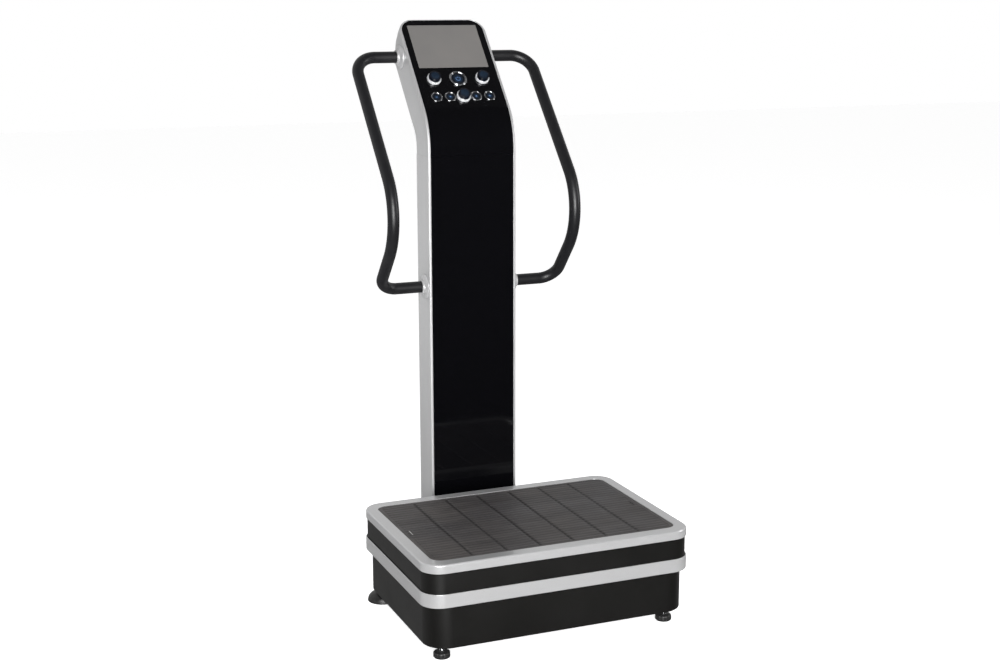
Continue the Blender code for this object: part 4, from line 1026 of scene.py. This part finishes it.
def buildRing(name, x, s, kind):
    # bezel profile turned round its axis: rounded shoulder outside, dished inside, a barrel through the face
    outside, rise, barrel, cap, _ = controlSizes[kind]
    bore = cap + 0.0004
    seat, deep = 2 * gap, -0.0060
    if kind == "raised":
        collar, shoulder = rise * 0.42, outside - bore - 0.0008
        body = [(outside, seat), (outside, collar * 0.6)]
        body += [(bore + 0.0008 + shoulder * c, collar + (rise - collar) * h) for c, h in zip(*quarter(14))]
    elif kind == "large":
        mid = (outside + bore) / 2
        body = beadedRun(outside, mid, seat, rise, 0.0011)
        body += beadedRun(mid - 0.0002, bore + 0.0010, rise * 0.45, rise * 0.92, 0.0007)[1:]
    else:
        body = beadedRun(outside, bore + 0.0010, seat, rise, 0.0007)
    if kind != "raised":
        body += [(bore + 0.0007, rise * 0.85), (bore + 0.0002, rise * 0.85)]
    body += [(bore, rise - 0.0007)]
    profile = [(bore, deep), (barrel, deep), (barrel, seat)] + body
    mesh = gridMesh(f"{name}Ring", onFace(turnedGrid(profile, 80), x, s), True, True)
    finish = satinChrome if kind == "raised" else finishes["chrome"]
    finishPiece(f"{name}Ring", mesh, finish, "base", [f"{name}_ring"])


def capHeight(kind, r):
    # height of the cap's top over its radius: a dished middle inside a shallow groove, with a rolled edge
    _, _, _, cap, rise = controlSizes[kind]
    share = r / cap
    roll = 0.0014 if kind == "raised" else 0.0005
    edge = np.clip((share - (1 - roll / cap)) * cap / roll, 0, 1)
    dish = 0.0009 if kind == "raised" else 0.0003
    height = rise - dish * 0.4 - roll * (1 - np.sqrt(np.clip(1 - edge ** 2, 0, 1)))
    height = height - dish * 0.6 * np.exp(-(share / 0.55) ** 4)
    return height - 0.0003 * np.exp(-((share - 0.78) / 0.035) ** 2)


def buildCap(name, x, s, kind):
    # stem, underside and side as a turned profile, then the top by capHeight
    cap = controlSizes[kind][3]
    r = cap * (1 - np.linspace(0, 1, 40))
    topPart = list(zip(r, capHeight(kind, r)))
    profile = [(0, -0.0180), (0.0035, -0.0180), (0.0035, -0.0045), (cap, -0.0045)] + topPart
    mesh = gridMesh(f"{name}Button", onFace(turnedGrid(profile, 72), x, s), True, False)
    finishPiece(f"{name}Button", mesh, finishes["button_navy"], name, [f"{name}_button"])
    # the insert: a thin lens following the same height, a hair above the cap inside its groove
    r = cap * 0.70 * (1 - np.linspace(0, 1, 16))
    lens = list(zip(r, capHeight(kind, r) + 0.00010 * np.clip(np.linspace(0, 1, 16) / 0.12, 0, 1)))
    under = float(capHeight(kind, np.array([cap * 0.70]))[0]) - 0.0002
    grid = turnedGrid([(0, under), (cap * 0.70, under)] + lens, 64)
    mesh = gridMesh(f"{name}Insert", onFace(grid, x, s), True, False)
    finishPiece(f"{name}Insert", mesh, blueInsert, name)


def strokeOutline(start, end, width):
    # a bar's four corners: half its width to both sides of the line from start to end
    start, end = np.array(start, float), np.array(end, float)
    along = (end - start) / np.linalg.norm(end - start)
    across = np.array([-along[1], along[0]]) * width / 2
    return np.array([start - across, end - across, end + across, start + across])


def buildSymbol(name, x, s, kind, sign):
    # a few closed outlines, lifted a hair off the cap's dish and carried up by the ink's thickness
    cap = controlSizes[kind][3]
    size = cap * 0.36
    bar = size * 0.26
    arcs = []
    if sign == "minus":
        outlines = [strokeOutline((-size * 0.8, 0), (size * 0.8, 0), bar)]
    elif sign == "plus":
        outlines = [strokeOutline((-size * 0.8, 0), (size * 0.8, 0), bar),
                    strokeOutline((0, bar / 2 + size * 0.02), (0, size * 0.8), bar),
                    strokeOutline((0, -bar / 2 - size * 0.02), (0, -size * 0.8), bar)]
    elif sign in ("up", "down"):
        flip = 1 if sign == "up" else -1
        outlines = [np.array([(-0.75, -0.5 * flip), (0.75, -0.5 * flip), (0, 0.8 * flip)]) * size]
    elif sign == "square":
        outlines = [np.array([(-0.6, -0.6), (0.6, -0.6), (0.6, 0.6), (-0.6, 0.6)]) * size]
    elif sign == "bars":
        outlines = [strokeOutline((k * size * 0.5, -size * 0.6), (k * size * 0.5, size * (0.25 + 0.35 * k)),
                                  bar * 1.1) for k in (-1, 0, 1)]
    elif sign == "ring":
        outlines = [strokeOutline((0, size * 0.1), (0, size * 0.55), bar * 0.8)]
        arcs = [(0.0, 2 * math.pi, True)]
    else:
        outlines = [strokeOutline((0, size * 0.15), (0, size), bar * 0.8)]
        arcs = [(math.radians(125), math.radians(290), False)]
    level = float(np.min(capHeight(kind, np.linspace(0, cap * 0.55, 12)))) + 0.00014
    parts = [barGrid(outline, level, level + 0.0001, 0.00003, 1) for outline in outlines]
    points, faces, start = [], [], 0
    for part in parts:
        rows, columns = part.shape[:2]
        faces += (quadsOf(rows, columns, False, True) + start).tolist()
        faces += (endFaces(rows, columns) + start).tolist()
        points.append(part.reshape(-1, 3))
        start += rows * columns
    for begin, sweep, closed in arcs:
        angle = begin + sweep * np.linspace(0, 1, 40, endpoint=not closed)
        radii = np.array([0.82, 0.82, 1.02, 1.02]) * size
        heights = level + np.array([0, 0.0001, 0.0001, 0])
        ring = np.stack([radii[None] * np.cos(angle)[:, None], radii[None] * np.sin(angle)[:, None],
                         heights[None] + 0 * angle[:, None]], -1)
        rows, columns = ring.shape[:2]
        faces += (quadsOf(rows, columns, closed, True) + start).tolist()
        if not closed:
            faces += (endFaces(rows, columns) + start).tolist()
        points.append(ring.reshape(-1, 3))
        start += rows * columns
    mesh = bpy.data.meshes.new(f"{name}Symbol")
    mesh.from_pydata(onFace(np.concatenate(points), x, s).tolist(), [], faces)
    finishPiece(f"{name}Symbol", mesh, ink, name)


buildShell()
buildFace()
buildScreen()
for name, (x, s, kind, sign) in controls.items():
    buildRing(name, x, s, kind)
    buildCap(name, x, s, kind)
    buildSymbol(name, x, s, kind, sign)
print("console built")

handle = {"bends": (0.0534, 0.1410, 0.0447), "spacing": 0.004, "sides": 48, "kneeY": 0.1791, "kneeZ": 0.9299}


def buildHandle(side, sign):
    # circles carried along the bent centreline, whose legs come from the imported tube and whose knee is
    # given in handle
    mesh = frame["nodes"][f"handle_{side}"].data
    spots = np.empty(len(mesh.vertices) * 3, np.float32)
    mesh.vertices.foreach_get("co", spots)
    spots = spots.reshape(-1, 3)
    reach = np.abs(spots[:, 0])
    ends = spots[reach < reach.min() + 0.0005]
    upper, lower = ends[ends[:, 2] > 1.0], ends[ends[:, 2] < 1.0]
    tube = (upper[:, 2].max() - upper[:, 2].min()) / 2
    topLeg = (upper.max(0) + upper.min(0)) / 2
    lowLeg = (lower.max(0) + lower.min(0)) / 2
    outside = reach.max() - tube
    knee = (handle["kneeY"] + deckMidY, handle["kneeZ"])
    corners = [(sign * reach.min(), topLeg[1], topLeg[2]), (sign * outside, topLeg[1], topLeg[2]),
               (sign * outside, *knee), (sign * outside, lowLeg[1], lowLeg[2]),
               (sign * reach.min(), lowLeg[1], lowLeg[2])]
    path = roundedRun(corners, handle["bends"], handle["spacing"])
    grid = tubeGrid(path, tube, (0, 1, 0), handle["sides"])
    finishPiece(f"handleTube_{side}", gridMesh(f"handleTube_{side}", grid, False, True, True),
                finishes["handle_black"], "base", [f"handle_{side}"])
    for end, leg in (("upper", topLeg), ("lower", lowLeg)):
        buildFlange(side, sign, end, leg, tube)


def buildFlange(side, sign, end, leg, tube):
    # escutcheon turned round the tube: rolled rim, shallow dome, then a collar up the tube
    nodeName = f"handle_{side}_{end}_flange"
    lowest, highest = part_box(nodeName)
    outside, rise = (highest.z - lowest.z) / 2, highest.x - lowest.x
    wall = min(abs(lowest.x), abs(highest.x))
    share = np.linspace(0, 1, 14)
    collar = tube + 0.0036
    dome = [(outside - 0.0012 - (outside - 0.0012 - collar - 0.002) * t,
             0.0026 + 0.0034 * (1 - (1 - t) ** 1.6)) for t in share]
    cosine, sine = quarter(5)
    rim = [(outside - 0.0012 + 0.0012 * c, 0.0014 + 0.0012 * s) for c, s in zip(cosine, sine)]
    neck = [(collar + 0.002 * (1 - s), 0.0060 + 0.002 * (1 - c)) for c, s in zip(cosine, sine)]
    top = [(collar - 0.0008 + 0.0008 * c, rise - 0.0008 + 0.0008 * s) for c, s in zip(cosine, sine)]
    profile = [(tube + gap, 0), (outside, 0)] + rim + dome[1:] + neck + top + [(tube + gap, rise - 0.0003)]
    grid = moved(turnedGrid(profile, 72), (sign * wall, leg[1], leg[2]), (0, 1, 0), (0, 0, 1), (sign, 0, 0))
    finishPiece(f"handleFlange_{side}_{end}", gridMesh(nodeName, grid, True, True),
                finishes["silver_paint"], "base", [nodeName])


buildHandle("left", -1)
buildHandle("right", 1)
print("handles built")


mains = {
    "coverEdge": 0.0012, "inletEdge": 0.0005, "switchEdge": 0.0006, "socketBack": 0.3985, "pinShort": 0.0035,
    "pins": ((0.0130, 0.0845), (0.0270, 0.0845), (0.0200, 0.0905)), "pinHalf": (0.0010, 0.0020),
    "pinRound": 0.0004, "screws": ((-0.0425, 0.087), (0.0475, 0.087)),
}


def softCopy(nodeName, name, finishName, body, bevel):
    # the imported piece's own mesh, its triangles merged back into flat faces and its edges rounded
    source = frame["nodes"][nodeName]
    mesh = source.data.copy()
    mesh.materials.clear()
    bm = bmesh.new()
    bm.from_mesh(mesh)
    bmesh.ops.remove_doubles(bm, verts=bm.verts, dist=1e-5)
    bmesh.ops.dissolve_limit(bm, angle_limit=math.radians(1), verts=bm.verts, edges=bm.edges)
    bm.to_mesh(mesh)
    bm.free()
    for attribute in [a.name for a in mesh.attributes if a.name == "custom_normal"]:
        mesh.attributes.remove(mesh.attributes[attribute])
    finishPiece(name, mesh, finishes[finishName], body, [nodeName], bevel)


softCopy("neck_cover", "neckCover", "black_plastic", "base", mains["coverEdge"])
softCopy("power_inlet", "powerInlet", "black_plastic", "base", mains["inletEdge"])
softCopy("power_switch", "powerSwitch", "black_gloss", "switch", mains["switchEdge"])


def buildSocketPins():
    # three flat blades inside the socket: a rounded outline carried outwards
    back, front = mains["socketBack"] + deckMidY + gap, high("power_inlet").y - mains["pinShort"]
    w, h = mains["pinHalf"]
    edge = mains["pinRound"]
    for index, (x, z) in enumerate(mains["pins"]):
        corners = [(x - w, z - h), (x + w, z - h), (x + w, z + h), (x - w, z + h)]
        grid = barGrid(softOutline(corners, (edge,) * 4, 3), back, front, edge)
        grid = grid[..., [0, 2, 1]]
        mesh = gridMesh(f"socketPin_{index}", grid, False, True, True)
        finishPiece(f"socketPin_{index}", mesh, finishes["machined_steel"], "base")


buildSocketPins()
for index, (x, z) in enumerate(mains["screws"]):
    place = (x, high("power_inlet").y - 0.0004, z)
    screwHead(f"inletScrew_{index}", place, (0, 1, 0), (1, 0, 0), 0.0018, 0.0004)
print("neck built")

nodeSlots = {row["node"]: row["material_slot"] for row in frame["record"]["subparts"]}
for nodeName, kept in frame["nodes"].items():
    if not kept.hide_render:
        kept.data.materials.clear()
        kept.data.materials.append(finishes[nodeSlots[nodeName]])
print("kept nodes:", sum(not kept.hide_render for kept in frame["nodes"].values()))

studio = {
    "cameraPlace": (-1.3989, -3.3990, 1.4302), "yaw": 22.486, "pitch": 12.028, "roll": -0.118, "lens": 55.92,
    "floorSize": 30.0, "floorGlow": 0.70, "worldShade": (-0.30, 0.50, 0.04, 0.60),
    "belowShade": (-0.30, 0.12, 0.35, 1.0),
}
# place, what it points at, width, height, power, mirrored in gloss
lights = {
    "frontBox": ((-1.3, -4.5, 1.45), (0, 0, 0.5), 2.4, 2.5, 375, True),
    "topFill": ((0.2, 0.4, 4.0), (0, -0.1, 0), 2.4, 2.4, 20, False),
    "rightBox": ((3.6, -1.6, 1.8), (0, 0, 0.6), 1.2, 2.2, 40, True),
    "sideStrip": ((-0.75, 0.25, 0.78), (-0.1, 0.2, 0.78), 0.25, 0.45, 3.4, False),
}


def buildCamera():
    # turned round the upright axis, tipped down, then rolled about its own line of sight
    camera = bpy.data.objects.new("camera", bpy.data.cameras.new("camera"))
    bpy.context.collection.objects.link(camera)
    camera.data.lens = studio["lens"]
    camera.data.sensor_width = 36
    camera.location = studio["cameraPlace"]
    yaw, pitch, roll = (math.radians(studio[key]) for key in ("yaw", "pitch", "roll"))
    level = Matrix.Rotation(-yaw, 3, "Z") @ Matrix.Rotation(math.pi / 2 - pitch, 3, "X")
    camera.rotation_euler = (level @ Matrix.Rotation(roll, 3, "Z")).to_euler()
    bpy.context.scene.camera = camera


def buildFloor():
    # one wide sheet, pale and matt, lifted by a little glow so that it stays even out to its edges
    half = studio["floorSize"] / 2
    mesh = bpy.data.meshes.new("floor")
    corners = [(-half, -half, 0), (half, -half, 0), (half, half, 0), (-half, half, 0)]
    mesh.from_pydata(corners, [], [(0, 1, 2, 3)])
    pale = material("paleFloor", (0.92, 0.92, 0.92), 0.9, Emission_Strength=studio["floorGlow"])
    pale.node_tree.nodes["Principled BSDF"].inputs["Emission Color"].default_value = (1, 1, 1, 1)
    mesh.materials.append(pale)
    floor = bpy.data.objects.new("floor", mesh)
    bpy.context.collection.objects.link(floor)
    floor.visible_glossy = False


def softbox(name, place, target, width, height, power, mirrored=True):
    # an area light; one that isn't mirrored lights the surfaces but leaves no reflection in the gloss
    light = bpy.data.lights.new(name, "AREA")
    light.shape = "RECTANGLE"
    light.size, light.size_y = width, height
    light.energy = power
    box = bpy.data.objects.new(name, light)
    bpy.context.collection.objects.link(box)
    box.location = place
    box.rotation_euler = (Vector(target) - Vector(place)).to_track_quat("-Z", "Y").to_euler()
    box.visible_glossy = mirrored
    box.visible_camera = False


def softRamp(tree, value, ends):
    # an S-shaped step: ends are where it starts and stops, and its two levels
    ramp = tree.nodes.new("ShaderNodeMapRange")
    ramp.interpolation_type = "SMOOTHSTEP"
    tree.links.new(value, ramp.inputs["Value"])
    for socket, number in zip(("From Min", "From Max", "To Min", "To Max"), ends):
        ramp.inputs[socket].default_value = number
    return ramp.outputs["Result"]


def whiteSky(tree, strength):
    # a plain white background as bright as strength, a number or another node's output
    sky = tree.nodes.new("ShaderNodeBackground")
    sky.inputs["Color"].default_value = (1, 1, 1, 1)
    if hasattr(strength, "links"):
        tree.links.new(strength, sky.inputs["Strength"])
    else:
        sky.inputs["Strength"].default_value = strength
    return sky.outputs[0]


def buildWorld():
    # white all round to the eye; as light, pale behind the machine and dim in front of and above it
    world = bpy.data.worlds.new("studio")
    bpy.context.scene.world = world
    world.use_nodes = True
    tree = world.node_tree
    tree.nodes.clear()
    output = tree.nodes.new("ShaderNodeOutputWorld")
    direction = tree.nodes.new("ShaderNodeTexCoord")
    parts = tree.nodes.new("ShaderNodeSeparateXYZ")
    tree.links.new(direction.outputs["Generated"], parts.inputs[0])
    strength = tree.nodes.new("ShaderNodeMath")
    strength.operation = "MULTIPLY"
    tree.links.new(softRamp(tree, parts.outputs["Y"], studio["worldShade"]), strength.inputs[0])
    tree.links.new(softRamp(tree, parts.outputs["Z"], studio["belowShade"]), strength.inputs[1])
    rays = tree.nodes.new("ShaderNodeLightPath")
    choice = tree.nodes.new("ShaderNodeMixShader")
    tree.links.new(rays.outputs["Is Camera Ray"], choice.inputs[0])
    tree.links.new(whiteSky(tree, strength.outputs[0]), choice.inputs[1])
    tree.links.new(whiteSky(tree, 1.0), choice.inputs[2])
    tree.links.new(choice.outputs[0], output.inputs["Surface"])


buildCamera()
buildFloor()
buildWorld()
for name, light in lights.items():
    softbox(name, *light)
bpy.context.scene.view_settings.view_transform = "Standard"
print("studio built")
